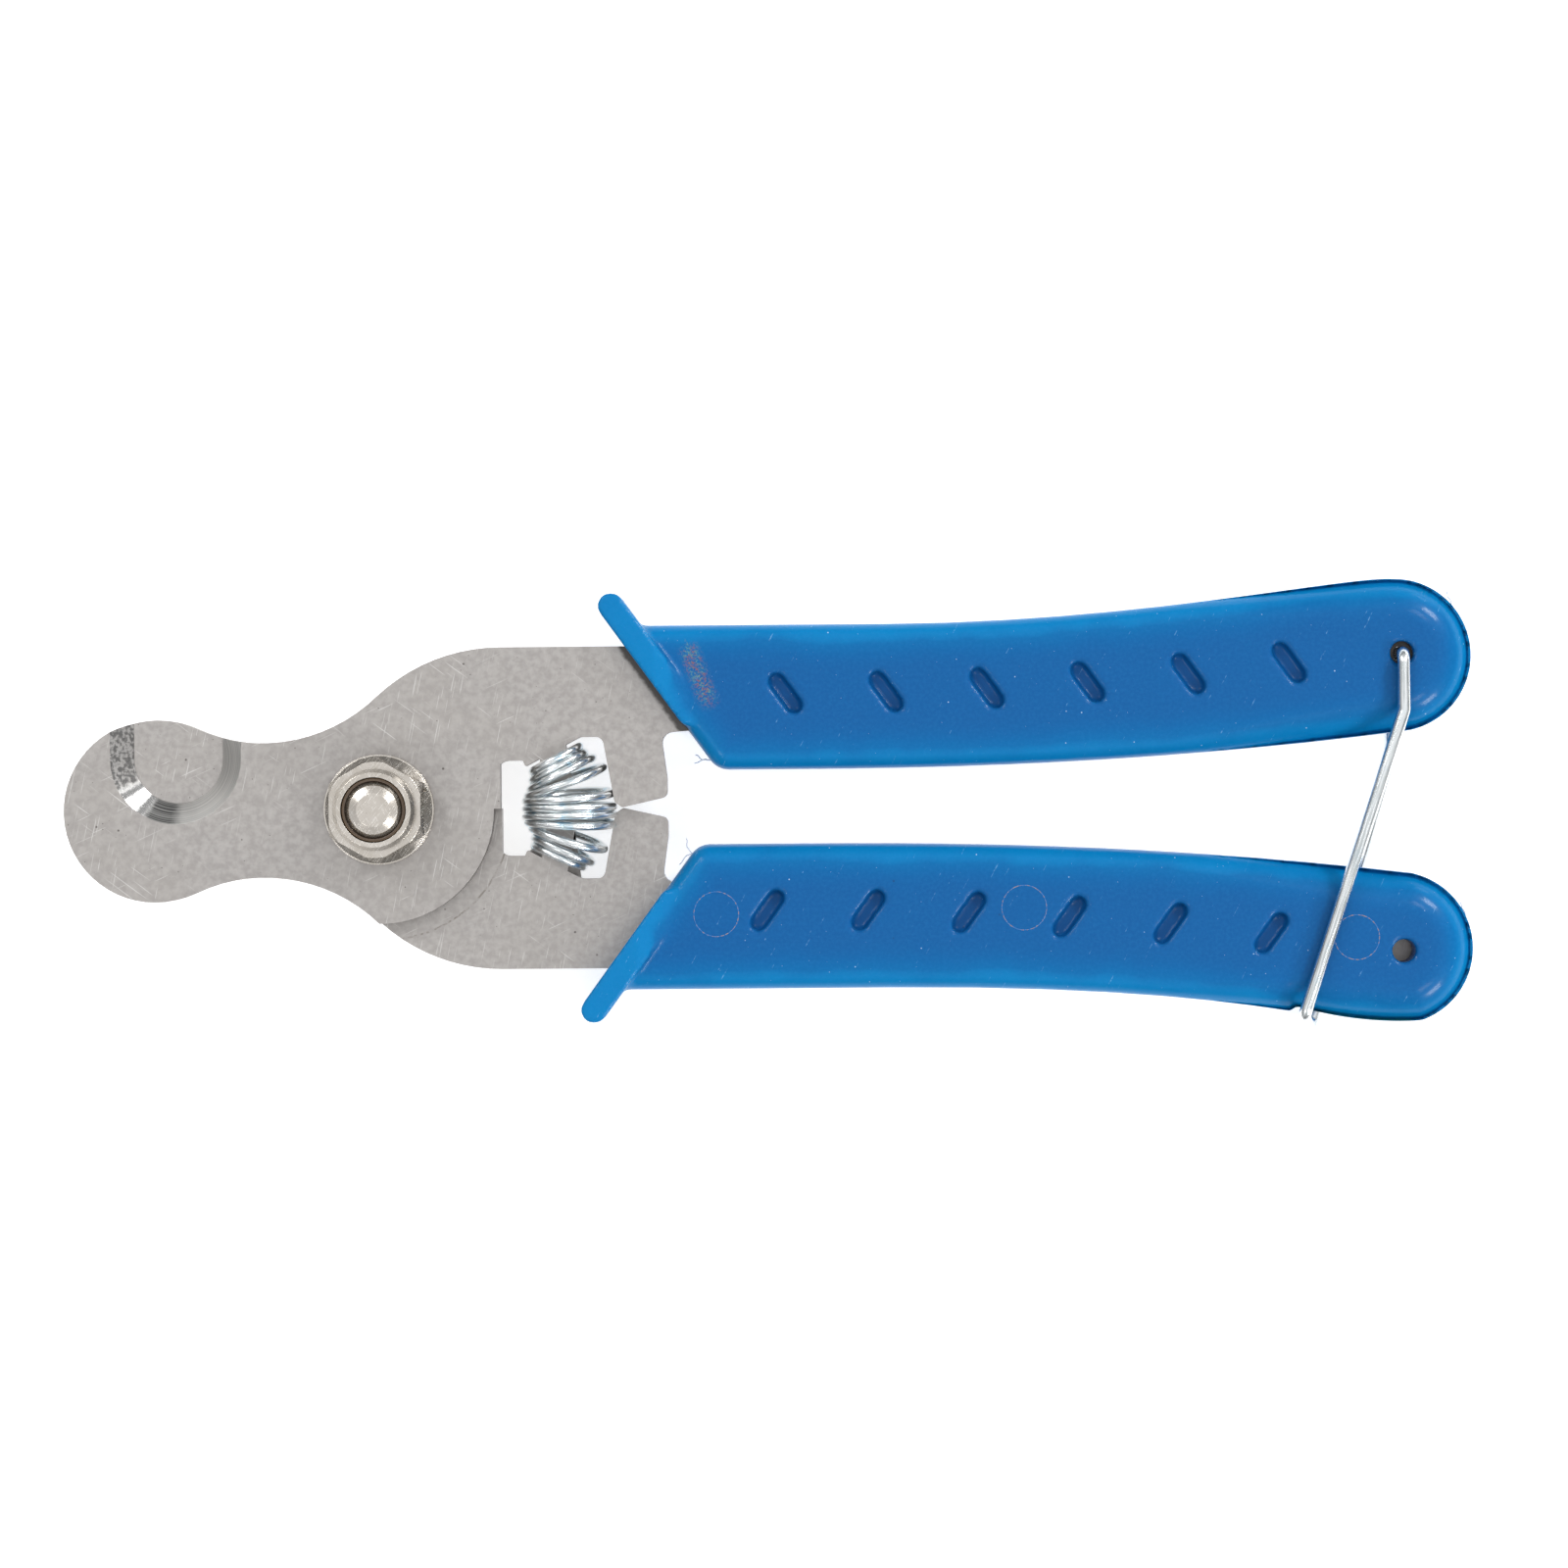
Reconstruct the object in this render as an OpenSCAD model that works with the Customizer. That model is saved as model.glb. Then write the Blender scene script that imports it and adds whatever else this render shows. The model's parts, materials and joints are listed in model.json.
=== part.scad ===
// Spring-loaded hand cutter with two stamped levers, one bolt pivot and plastic grips.
// X runs along the tool with the jaws at -X, Z is up through the bolt, Y is across the handles.
// The origin is under the middle of the tool, on the surface that it lies on.

/* [Jaws and neck] */
// Distance from the pivot to the middle of the jaw disc
jaw_reach = 32.2; // [28:0.1:39]
// Radius of the jaw disc
jaw_r = 13.1; // [12:0.1:15.8]
// Half of the width of the neck at its narrowest
neck_half = 9.65; // [8:0.05:11.6]
// Radius of the hollow on each side of the neck
neck_r = 23.6; // [18:0.1:29]
// Distance from the jaw disc's middle back to the notch's middle
notch_back = 3.0; // [1:0.1:5]
// Distance from the middle line up to the notch's middle
notch_rise = 7.5; // [6.9:0.1:9]
// Radius of the notch at its cutting edge
notch_r = 6.4; // [5:0.1:6.8]
// Width of the ground bevel behind the cutting edge
bevel_w = 3.0; // [1.5:0.1:3.6]

/* [Levers] */
// Thickness of each stamped lever
plate_t = 3.0; // [2.5:0.1:3.6]
// Running gap between the two levers
plate_gap = 0.1; // [0.05:0.01:0.2]
// Radius of each lever's disc round the pivot
pivot_disc_r = 16.4; // [15.5:0.1:16.7]
// Distance from the middle line to a lever's straight outer edge
plate_top = 23.15; // [20.5:0.05:24]
// Radius of the shoulder between the neck and the outer edge
shoulder_r = 26.0; // [22:0.1:30]
// Radius of a lever's round tail round the latch hole
tail_r = 6.5; // [5:0.1:7.5]

/* [Spring window] */
// Distance from the pivot to the window's near wall
window_near = 16.8; // [15.9:0.1:18]
// Height of the shelf beside the spring seat
shelf_y = 6.85; // [6.2:0.05:7.4]
// Distance from the pivot to the start of the spring seat
seat_x = 20.95; // [20:0.05:22]
// Height of the start of the spring seat
seat_y = 6.0; // [5.5:0.05:6.6]
// Slope of the spring seat
seat_slope = 28; // [20:1:34]
// Height of the window's roof
roof_y = 10.2; // [9.6:0.1:11]
// Distance from the pivot to the far end of the window's roof
window_far = 32.0; // [31.4:0.1:34]
// Distance from the pivot to the tip of the closing tooth
tooth_x = 34.8; // [34:0.1:36]
// Distance from the pivot to the closing tooth's heel
heel_x = 41.3; // [39:0.1:42.5]
// Height of the closing tooth's heel
heel_y = 1.5; // [1:0.1:2.5]
// Gap left between the two closing teeth
tooth_gap = 0.1; // [0.05:0.01:0.3]
// Height of the lever's inner edge where it enters the grip
throat_y = 11.0; // [10.5:0.1:12]
// Width of the prong that locates the spring
prong_w = 4.0; // [3:0.1:4.2]
// Length of the prong that locates the spring
prong_l = 5.2; // [3.5:0.1:5.6]

/* [Pivot bolt and nut] */
// Diameter of the bolt's shank
bolt_d = 8.0; // [7:0.1:8.6]
// Radial running clearance of the levers on the shank
bolt_fit = 0.05; // [0.02:0.01:0.1]
// Diameter over the bolt's thread crests
thread_d = 7.8; // [6.8:0.1:7.8]
// Size across the flats of the bolt head and the nut
flats_w = 13.0; // [12.4:0.1:14]
// Height of the bolt's whole head
head_h = 5.3; // [4.8:0.1:6.4]
// Diameter of the flanges under the bolt head and the nut
flange_d = 15.8; // [15.2:0.1:17.5]
// Thickness of each flange at its rim
flange_t = 1.2; // [0.8:0.1:1.6]
// Height of the nut's hexagon, from the lever
nut_hex_h = 7.4; // [6.5:0.1:8.2]
// Height of the whole nut, from the lever
nut_h = 9.5; // [8.6:0.1:10.5]
// Diameter of the nut's round collar
collar_d = 11.6; // [11.2:0.1:12.2]
// Diameter of the locking ring inside the collar
ring_d = 9.2; // [8.8:0.1:10]
// Height of the locking ring
ring_h = 1.7; // [1:0.1:2]
// Depth of the locking ring below the collar's top
ring_sink = 0.3; // [0.1:0.1:0.5]
// Length of bolt that stands out of the nut
bolt_out = 0.4; // [0:0.1:1.5]

/* [Grips] */
// Distance from the pivot to the middle of the grip's round end
end_x = 145.7; // [121:0.1:176]
// Distance from the middle line to the middle of the grip's round end
end_y = 21.0; // [20.2:0.1:21.6]
// Radius of the grip's round end
end_r = 11.0; // [10:0.1:11.6]
// Distance from the middle of the round end on to the latch hole
hole_out = 0.8; // [-1:0.1:2]
// Distance from the middle line to the grip's outer edge at the front
outer_y = 26.1; // [25.6:0.1:27]
// Distance from the middle line to the grip's inner edge at the front
inner_y = 5.4; // [4.5:0.1:6.4]
// Half of the thickness of a grip
grip_half = 5.5; // [4.8:0.1:6.2]
// Radius of a grip's long edges
edge_r = 2.4; // [1.5:0.1:3]
// Distance from the pivot to the line of the grip's front edge, at the middle line
front_x = 52.4; // [51.5:0.1:54]
// Angle between the front edge and the tool's length
front_angle = 54; // [50:0.5:58]
// How far the lower grip reaches in front of the upper grip
grip_shift = 2.8; // [0:0.1:3]
// Width of the guard rib along the front edge
guard_w = 3.7; // [3.0:0.1:4.4]
// Distance from the middle line to the guard's outer tip
guard_y = 30.7; // [29.5:0.1:32]
// Distance from the middle line to the guard's inner end
guard_low = 13.4; // [12:0.1:16]
// How far the guard stands out in front of the grip
guard_out = 0.2; // [0.1:0.05:0.4]
// Height of the guard rib above each face
guard_rise = 1.4; // [0.8:0.1:1.6]
// Number of grooves in each face
groove_n = 6; // [3:1:6]
// Distance between the grooves
groove_pitch = 14.4; // [12:0.1:14.6]
// Distance from the middle line to the upper grip's first groove
groove_y = 16.2; // [15.4:0.1:17]
// How far the last groove lies out from the first
groove_rise = 3.8; // [2:0.1:4.6]
// How far the lower grip's grooves lie in from the upper grip's
groove_drop = 1.4; // [0:0.1:2]
// Length of a groove
groove_l = 6.7; // [5.5:0.1:7.6]
// Width of a groove
groove_w = 2.4; // [2:0.1:2.8]
// Depth of a groove
groove_depth = 1.6; // [1:0.1:1.9]
// Diameter of the hole in the plastic round the latch wire
hole_d = 3.4; // [3:0.1:4.2]
// Gap between the moulded grip and the steel in it
mould_gap = 0.02; // [0.01:0.01:0.05]

/* [Return spring] */
// Diameter of the spring wire
spring_wire = 1.3; // [1.1:0.05:1.4]
// Outside diameter of the end turns
spring_end_d = 8.9; // [8.4:0.1:9.6]
// Outside diameter of the middle turns
spring_mid_d = 14.0; // [12:0.1:14.2]
// Number of turns
spring_turns = 11; // [8:1:12]
// Gap between the spring's end turns and their seats
spring_gap = 0.4; // [0.35:0.05:0.6]
// Distance that the spring bows away from the pivot
spring_bow = 1.3; // [0.8:0.1:1.6]

/* [Latch] */
// Diameter of the latch wire
latch_wire = 1.84; // [1.6:0.02:2.2]
// Distance from the latch hole to the wire's crossbar
latch_reach = 53.8; // [53.6:0.1:56]
// Distance that the crossbar lies in front of the latch hole
latch_back = 14.6; // [10:0.1:16]
// How far the lower leg's foot lies out from the upper leg's
leg_skew = 2.4; // [0:0.1:4]
// How much further the lower leg reaches than the upper leg
leg_extra = 1.8; // [0:0.1:3]
// Length of the straight part of the upper leg next to the hole
knee_drop = 8.2; // [7:0.1:13]
// How much further down the lower leg's knee is
knee_extra = 6.5; // [0:0.1:9]
// Gap between the wire and the grips
latch_gap = 0.3; // [0.2:0.05:0.6]
// Gap between the crossbar's path and the lower grip's end
latch_clear = 0.12; // [0.1:0.01:0.3]
// Gap between the wire's two ends in the lever's hole
end_gap = 0.4; // [0.2:0.1:0.8]
// Radial running clearance of the wire in the lever's hole
pin_fit = 0.08; // [0.03:0.01:0.1]

/* [Hidden] */
$fn = 96;
eps = 0.01;
// How far touching shapes of one piece reach into each other
weld = 0.04;

// Where the origin lies: halfway along the tool, on the surface under the bolt head
face_z = plate_gap / 2 + plate_t;
rest_z = -(face_z + head_h);
mid_x = (end_x + end_r - jaw_reach - jaw_r) / 2;

// Hollows of the neck: each touches the jaw disc and the shoulder without a corner
neck_cy = neck_half + neck_r;
neck_x = -jaw_reach + sqrt(pow(jaw_r + neck_r, 2) - neck_cy * neck_cy);
jaw_turn = atan2(neck_cy, neck_x + jaw_reach);
shoulder_y = plate_top - shoulder_r;
shoulder_x = neck_x + sqrt(pow(neck_r + shoulder_r, 2) - pow(neck_cy - shoulder_y, 2));
shoulder_turn = atan2(shoulder_y - neck_cy, shoulder_x - neck_x);
notch_x = -jaw_reach + notch_back;

// Grip: both edges sweep out to the round end, the outer one by a curve with level ends
hole_x = end_x + hole_out;
hole_y = end_y + 0.3;
outer_start = 73;
outer_lead = [35, 50];
outer_settle = 8;
outer_peak = end_x - 1;
inner_start = 0.42 * end_x;
inner_power = 2.2;
inner_rise = end_y - end_r - inner_y;
inner_tilt = atan(inner_rise * inner_power / (end_x - inner_start));
front_round = 3.2;
guard_shift = (guard_w / 2 - guard_out) / sin(front_angle);
guard_top = guard_y - guard_w / 2;
guard_tip = [front_x - guard_top / tan(front_angle) + guard_shift, guard_top];
guard_in = [front_x - guard_low / tan(front_angle) + guard_shift, guard_low];
groove_start = 58.3;
latch_z = grip_half + latch_gap + latch_wire / 2;
foot = [for (leg = [[latch_back, latch_reach], [latch_back - leg_skew, latch_reach + leg_extra]])
    [hole_x - leg[0], hole_y - sqrt(leg[1] * leg[1] - leg[0] * leg[0])]];

// Spring: both ends sit square in the seats, the middle bows away from the pivot
seat_mid = spring_end_d / 2;
spring_top = [seat_x + seat_mid * cos(seat_slope) + spring_wire / 2 * sin(seat_slope),
              seat_y + seat_mid * sin(seat_slope) - (spring_wire / 2 + spring_gap) * cos(seat_slope),
              face_z - plate_t / 2];
spring_steps = 16;
spring_sides = 8;

// Arm and tang of a lever as [x, y, corner radius], from the pivot round the spring window
arm_corners = [
    [0, 0, 0], [window_near, 0, 0], [window_near, shelf_y, 1.7],
    [seat_x - 0.35, shelf_y, 0.2], [seat_x, seat_y, 0.2],
    [seat_x + (roof_y - seat_y) / tan(seat_slope), roof_y, 1.2], [window_far, roof_y, 1.2],
    [tooth_x - 1.1, 0.8, 0.6], [tooth_x, tooth_gap / 2, 0.3],
    [heel_x, heel_y, 1.0], [heel_x, 4.2, 2], [heel_x - 0.9, throat_y - 0.3, 1.6],
    [heel_x + 3.2, throat_y, 0.5], [hole_x, hole_y - tail_r, 0], [hole_x, hole_y + tail_r, 0],
    [outer_start, plate_top, 0], [shoulder_x - weld, plate_top, 0],
    [shoulder_x - weld, shelf_y, 0], [0, shelf_y, 0]];

function lerp(a, b, t) = a + (b - a) * t;
function on_circle(c, r, a) = [c[0] + r * cos(a), c[1] + r * sin(a)];
function unit(v) = v / norm(v);

// Corner k of a closed outline of [x, y, radius] points, rounded to its radius
function corner(p, k, steps = 5) =
    let (n = len(p), b = [p[k][0], p[k][1]],
         a = [p[(k + n - 1) % n][0], p[(k + n - 1) % n][1]],
         c = [p[(k + 1) % n][0], p[(k + 1) % n][1]],
         u = unit(a - b), v = unit(c - b),
         half = acos(u * v) / 2, r = p[k][2], back = r / tan(half),
         mid = b + unit(u + v) * r / sin(half),
         a0 = atan2((b + u * back - mid)[1], (b + u * back - mid)[0]),
         a1 = atan2((b + v * back - mid)[1], (b + v * back - mid)[0]),
         turn = (a1 - a0 + 540) % 360 - 180)
    r == 0 ? [b] : [for (i = [0 : steps]) on_circle(mid, r, a0 + turn * i / steps)];
function rounded(p) = [for (k = [0 : len(p) - 1]) each corner(p, k)];

// The grip's inner edge, and its outer edge as a curve with level ends (grip 0 upper, 1 lower)
function inner_edge(x) =
    inner_y + inner_rise * pow(max(0, x - inner_start) / (end_x - inner_start), inner_power);
function curve(a, b, c, d, t) =
    a * pow(1 - t, 3) + 3 * b * t * pow(1 - t, 2) + 3 * c * t * t * (1 - t) + d * pow(t, 3);
function outer_point(t, grip) =
    [curve(outer_start, outer_start + outer_lead[grip], outer_peak - outer_settle, outer_peak, t),
     curve(outer_y, outer_y, end_y + end_r, end_y + end_r, t)];

// The grip's outline, drawn in from its true edge by d: the front corner, the inner edge,
// the round end, the outer edge and the front's outer point
edge_steps = 12;
corner_steps = 4;
function grip_outline(d, shift, grip) =
    let (inner_end = on_circle([end_x, end_y], end_r, inner_tilt - 90)[0],
         front = front_x - shift,
         heel = front - inner_y / tan(front_angle))
    concat([for (i = [0 : corner_steps]) let (a = lerp(270 - front_angle, 270, i / corner_steps),
                c = [heel + front_round * tan(front_angle / 2), inner_y + front_round])
                on_circle(c, front_round - d, a)],
           [for (i = [0 : edge_steps]) let (x = lerp(inner_start, inner_end, i / edge_steps))
                [x, inner_edge(x) + d]],
           [for (i = [1 : 2 * edge_steps - 1]) on_circle([end_x, end_y], end_r - d,
                lerp(inner_tilt - 90, 90, i / (2 * edge_steps)))],
           [for (i = [edge_steps : -1 : 0]) outer_point(i / edge_steps, grip) - [0, d]],
           [[front - outer_y / tan(front_angle) + d / sin(front_angle) + d / tan(front_angle),
             outer_y - d]]);

// The grip's flat face as cross strips between its inner and outer edges
function grip_strips() =
    let (a = corner_steps + 1, e = a + 3 * edge_steps, f = e + edge_steps)
    concat([[for (i = [0 : a]) i, f, f + 1]],
           [for (k = [0 : edge_steps - 1]) [a + k, a + k + 1, f - k - 1, f - k]],
           [[for (i = [a + edge_steps : e]) i]]);

// A closed skin through rings of points, with its end faces given as lists of the ring's points
function ring_faces(n, rings, ends) = concat(
    ends,
    [for (k = [0 : rings - 2], i = [0 : n - 1]) let (j = (i + 1) % n)
        [k * n + i, (k + 1) * n + i, (k + 1) * n + j, k * n + j]],
    [for (e = ends) [for (i = [len(e) - 1 : -1 : 0]) (rings - 1) * n + e[i]]]);

// Spring: point on its bowed axis, the axis direction and the radius of a turn
function spring_axis(t) =
    let (a = spring_top, c = [spring_top[0], -spring_top[1], -spring_top[2]],
         m = [spring_top[0] + 2 * spring_bow, 0, 0])
    a * (1 - t) * (1 - t) + 2 * m * t * (1 - t) + c * t * t;
function spring_along(t) = unit(spring_axis(t + 0.001) - spring_axis(t - 0.001));
function spring_radius(t) =
    (lerp(spring_end_d, spring_mid_d, pow(sin(180 * t), 0.8)) - spring_wire) / 2;
function spring_point(t) =
    let (k = spring_along(t), side = unit(cross([0, 0, 1], k)), up = cross(k, side),
         a = 360 * spring_turns * t)
    spring_axis(t) + spring_radius(t) * (cos(a) * side + sin(a) * up);
function spring_ring(t) =
    let (k = unit(spring_point(min(1, t + 0.0005)) - spring_point(max(0, t - 0.0005))),
         out = unit(cross(k, spring_along(t))), up = cross(out, k))
    [for (i = [0 : spring_sides - 1]) let (a = 360 * i / spring_sides)
        spring_point(t) + spring_wire / 2 * (cos(a) * out + sin(a) * up)];

module in_place() {
    translate([-mid_x, 0, -rest_z]) children();
}

module rod(a, b, d) {
    v = b - a;
    translate(a)
        rotate([0, acos(v[2] / norm(v)), atan2(v[1], v[0])])
            cylinder(h = norm(v), d = d);
}

module slab() {
    linear_extrude(plate_t) children();
}

// A lever's solid plate: jaw disc, neck, pivot disc, shoulder, arm, tang and spring prong
module lever_blank() {
    jaw_side = on_circle([-jaw_reach, 0], jaw_r - weld, jaw_turn);
    shoulder_side = on_circle([neck_x, neck_cy], neck_r + weld, shoulder_turn);
    difference() {
        union() {
            translate([-jaw_reach, 0, 0]) cylinder(h = plate_t, r = jaw_r);
            cylinder(h = plate_t, r = pivot_disc_r);
            slab()
                polygon([jaw_side, shoulder_side, [shoulder_side[0], -shoulder_side[1]],
                         [jaw_side[0], -jaw_side[1]]]);
            intersection() {
                translate([shoulder_x, shoulder_y, 0]) cylinder(h = plate_t, r = shoulder_r);
                translate([-shoulder_r, 0, 0]) cube([shoulder_x + shoulder_r, plate_top, plate_t]);
            }
            slab() polygon(rounded(arm_corners));
            translate([hole_x, hole_y, 0]) cylinder(h = plate_t, r = tail_r);
            translate([seat_x + seat_mid * cos(seat_slope), seat_y + seat_mid * sin(seat_slope), 0])
                rotate(seat_slope / 3)
                    translate([-prong_w / 2, -prong_l, 0])
                        cube([prong_w, prong_l + 1.5, plate_t]);
        }
        for (s = [-1, 1])
            translate([neck_x, s * neck_cy, -1]) cylinder(h = plate_t + 2, r = neck_r);
    }
}

// One lever in its upper place, with its cutting edge on the side that meets the other lever
module lever(latch_hole) {
    translate([0, 0, plate_gap / 2])
        difference() {
            lever_blank();
            translate([0, 0, -1]) cylinder(h = plate_t + 2, d = bolt_d + 2 * bolt_fit);
            translate([notch_x, notch_rise, 0]) {
                cylinder(h = plate_t, r1 = notch_r, r2 = notch_r + bevel_w);
                rotate([90, 0, 180])
                    linear_extrude(jaw_r)
                        polygon([[-notch_r, 0], [notch_r, 0],
                                 [notch_r + bevel_w, plate_t], [-notch_r - bevel_w, plate_t]]);
            }
            if (latch_hole)
                translate([hole_x, hole_y, -1])
                    cylinder(h = plate_t + 2, d = latch_wire + 2 * pin_fit);
        }
}

// The steel inside a grip, with the moulding gap all round
module tang_space() {
    translate([0, 0, plate_gap / 2 - mould_gap])
        linear_extrude(plate_t + 2 * mould_gap)
            union() {
                polygon([
                    [heel_x - 8, throat_y - mould_gap - 0.3 / 3.2],
                    [heel_x + 3.2, throat_y - mould_gap],
                    [hole_x, hole_y - tail_r - mould_gap], [hole_x, hole_y + tail_r + mould_gap],
                    [outer_start, plate_top + mould_gap], [heel_x - 14, plate_top + mould_gap]]);
                translate([hole_x, hole_y]) circle(tail_r + mould_gap);
            }
}

module groove(x, y, face) {
    // face is 1 for the upper face and -1 for the lower face
    h = groove_depth + 1;
    run = (groove_l - groove_w) / 2;
    translate([x, y, face > 0 ? grip_half - groove_depth : -grip_half - 1])
        rotate(-front_angle)
            union() {
                for (s = [-1, 1])
                    translate([s * run, 0, 0]) cylinder(h = h, d = groove_w, $fn = 32);
                translate([-run, -groove_w / 2, 0]) cube([2 * run, groove_w, h]);
            }
}

// One grip in its upper place: kind 0 is the upper grip and kind 1 the lower grip
module grip(kind) {
    turns = [90, 60, 30, 0];
    core = grip_half - edge_r;
    shift = kind * grip_shift;
    rings = [for (side = [-1, 1], i = [0 : 3]) let (a = turns[side < 0 ? i : 3 - i])
        [side * (core + edge_r * sin(a)), edge_r * (1 - cos(a))]];
    n = len(grip_outline(0, shift, kind));
    difference() {
        union() {
            polyhedron([for (r = rings)
                            each [for (p = grip_outline(r[1], shift, kind)) [p[0], p[1], r[0]]]],
                       ring_faces(n, len(rings), grip_strips()));
            translate([-shift, 0, 0]) guard();
        }
        tang_space();
        for (i = [0 : groove_n - 1]) {
            x = groove_start - shift + i * groove_pitch;
            y = groove_y - kind * groove_drop + groove_rise * pow(i / (groove_n - 1), 2.2);
            groove(x, y, 1);
            groove(x, y, -1);
        }
        translate([hole_x, hole_y, -grip_half - 1])
            cylinder(h = 2 * grip_half + 2, d = hole_d);
    }
}

// The raised guard along the front of a grip, which runs down into the faces at its inner end
module guard() {
    z = grip_half + guard_rise;
    run = guard_tip - guard_in;
    turn = atan2(run[1], run[0]);
    low_x = guard_in[0] + guard_w;
    high_x = guard_in[0] - 5;
    intersection() {
        translate([0, 0, -z])
            linear_extrude(2 * z)
                polygon([for (end = [0, 1], i = [0 : 8])
                    on_circle(end == 0 ? guard_tip : guard_in, guard_w / 2,
                              turn - 90 + 180 * end + 180 * i / 8)]);
        rotate([90, 0, 0])
            translate([0, 0, -2 * guard_y])
                linear_extrude(2 * guard_y)
                    polygon([[guard_tip[0] - 5, -z], [high_x, -z], [low_x, -grip_half + 1],
                             [low_x, grip_half - 1], [high_x, z], [guard_tip[0] - 5, z]]);
    }
}

module hex_prism(h) {
    intersection() {
        rotate(90) cylinder(h = h, d = flats_w / cos(30), $fn = 6);
        cylinder(h = h, r1 = flats_w / 2 / cos(30) + h, r2 = flats_w / 2 / cos(30) - 0.7);
    }
}

module flange() {
    cylinder(h = flange_t, d = flange_d);
    translate([0, 0, flange_t])
        cylinder(h = 1, d1 = flange_d - 0.4, d2 = flats_w);
}

module upper_lever() {
    color([0.72, 0.71, 0.69]) in_place() lever(true);
}

module lower_lever() {
    color([0.68, 0.67, 0.65]) in_place() rotate([180, 0, 0]) lever(false);
}

module upper_grip() {
    color([0.05, 0.38, 0.78]) in_place() grip(0);
}

module lower_grip() {
    path_r = latch_reach - latch_wire / 2 - latch_clear;
    seat_half = latch_wire / 2 + latch_gap;
    color([0.05, 0.38, 0.78]) in_place()
        difference() {
            rotate([180, 0, 0]) grip(1);
            // room for the crossbar as it swings past the end
            difference() {
                translate([foot[0][0] - seat_half, -2 * hole_y, -2 * grip_half])
                    cube([latch_back + seat_half + 2 * end_r, 2 * hole_y, 4 * grip_half]);
                translate([hole_x, hole_y, -3 * grip_half])
                    cylinder(h = 6 * grip_half, r = path_r, $fn = 180);
            }
            // the seat that the crossbar rests in
            rod([foot[0][0], foot[0][1], latch_z], [foot[1][0], foot[1][1], -latch_z],
                2 * seat_half);
        }
}

module pivot_bolt() {
    end_z = face_z + nut_h + bolt_out;
    color([0.80, 0.78, 0.74]) in_place()
        union() {
            translate([0, 0, -face_z])
                mirror([0, 0, 1]) {
                    flange();
                    hex_prism(head_h);
                }
            translate([0, 0, -face_z]) cylinder(h = 2 * face_z, d = bolt_d);
            translate([0, 0, face_z - eps])
                cylinder(h = end_z - face_z - 0.6 + eps, d = thread_d);
            translate([0, 0, end_z - 0.6])
                cylinder(h = 0.6, d1 = thread_d, d2 = thread_d - 1.2);
        }
}

module flange_nut() {
    bore = thread_d + 2 * mould_gap;
    color([0.82, 0.80, 0.76]) in_place()
        translate([0, 0, face_z])
            difference() {
                union() {
                    flange();
                    hex_prism(nut_hex_h);
                    cylinder(h = nut_h - 0.5, d = collar_d);
                    translate([0, 0, nut_h - 0.5])
                        cylinder(h = 0.5, d1 = collar_d, d2 = collar_d - 1);
                }
                translate([0, 0, -1]) cylinder(h = nut_h + 2, d = bore);
                // bolt shank clearance under the thread, and the locking ring's seat
                translate([0, 0, nut_h - ring_sink - ring_h])
                    cylinder(h = nut_h, d = ring_d + 2 * mould_gap);
            }
}

module lock_ring() {
    color([0.25, 0.17, 0.10]) in_place()
        translate([0, 0, face_z + nut_h - ring_sink - ring_h + mould_gap])
            difference() {
                cylinder(h = ring_h - mould_gap, d = ring_d);
                translate([0, 0, -1]) cylinder(h = ring_h + 2, d = thread_d + 2 * mould_gap);
            }
}

module return_spring() {
    n = spring_turns * spring_steps;
    color([0.66, 0.72, 0.74]) in_place()
        polyhedron([for (i = [0 : n]) each spring_ring(i / n)],
                   ring_faces(spring_sides, n + 1, [[for (i = [0 : spring_sides - 1]) i]]));
}

module latch_wire_bail() {
    tang_mid = face_z - plate_t / 2;
    knee_y = [hole_y - knee_drop, hole_y - knee_drop - knee_extra];
    path = [[hole_x, hole_y, tang_mid + end_gap / 2], [hole_x, hole_y, latch_z],
            [hole_x, knee_y[0], latch_z], [foot[0][0], foot[0][1], latch_z],
            [foot[1][0], foot[1][1], -latch_z], [hole_x, knee_y[1], -latch_z],
            [hole_x, hole_y, -latch_z], [hole_x, hole_y, tang_mid - end_gap / 2]];
    color([0.70, 0.74, 0.75]) in_place()
        union() {
            for (k = [1 : len(path) - 1])
                rod(path[k - 1], path[k], latch_wire);
            for (k = [1 : len(path) - 2])
                translate(path[k]) sphere(d = latch_wire + 2 * weld, $fn = 48);
        }
}

upper_lever();
lower_lever();
upper_grip();
lower_grip();
pivot_bolt();
flange_nut();
lock_ring();
return_spring();
latch_wire_bail();
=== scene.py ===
# %% [markdown]
# # Spring-loaded nippers with two stamped levers
# This file dresses a packed tool. The frame brings the pieces and the joints, and each cell
# below makes one piece or one finish as it is on the real tool. Lengths are in metres, X runs
# from the jaws to the grip ends, and Z is up along the bolt.

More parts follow.
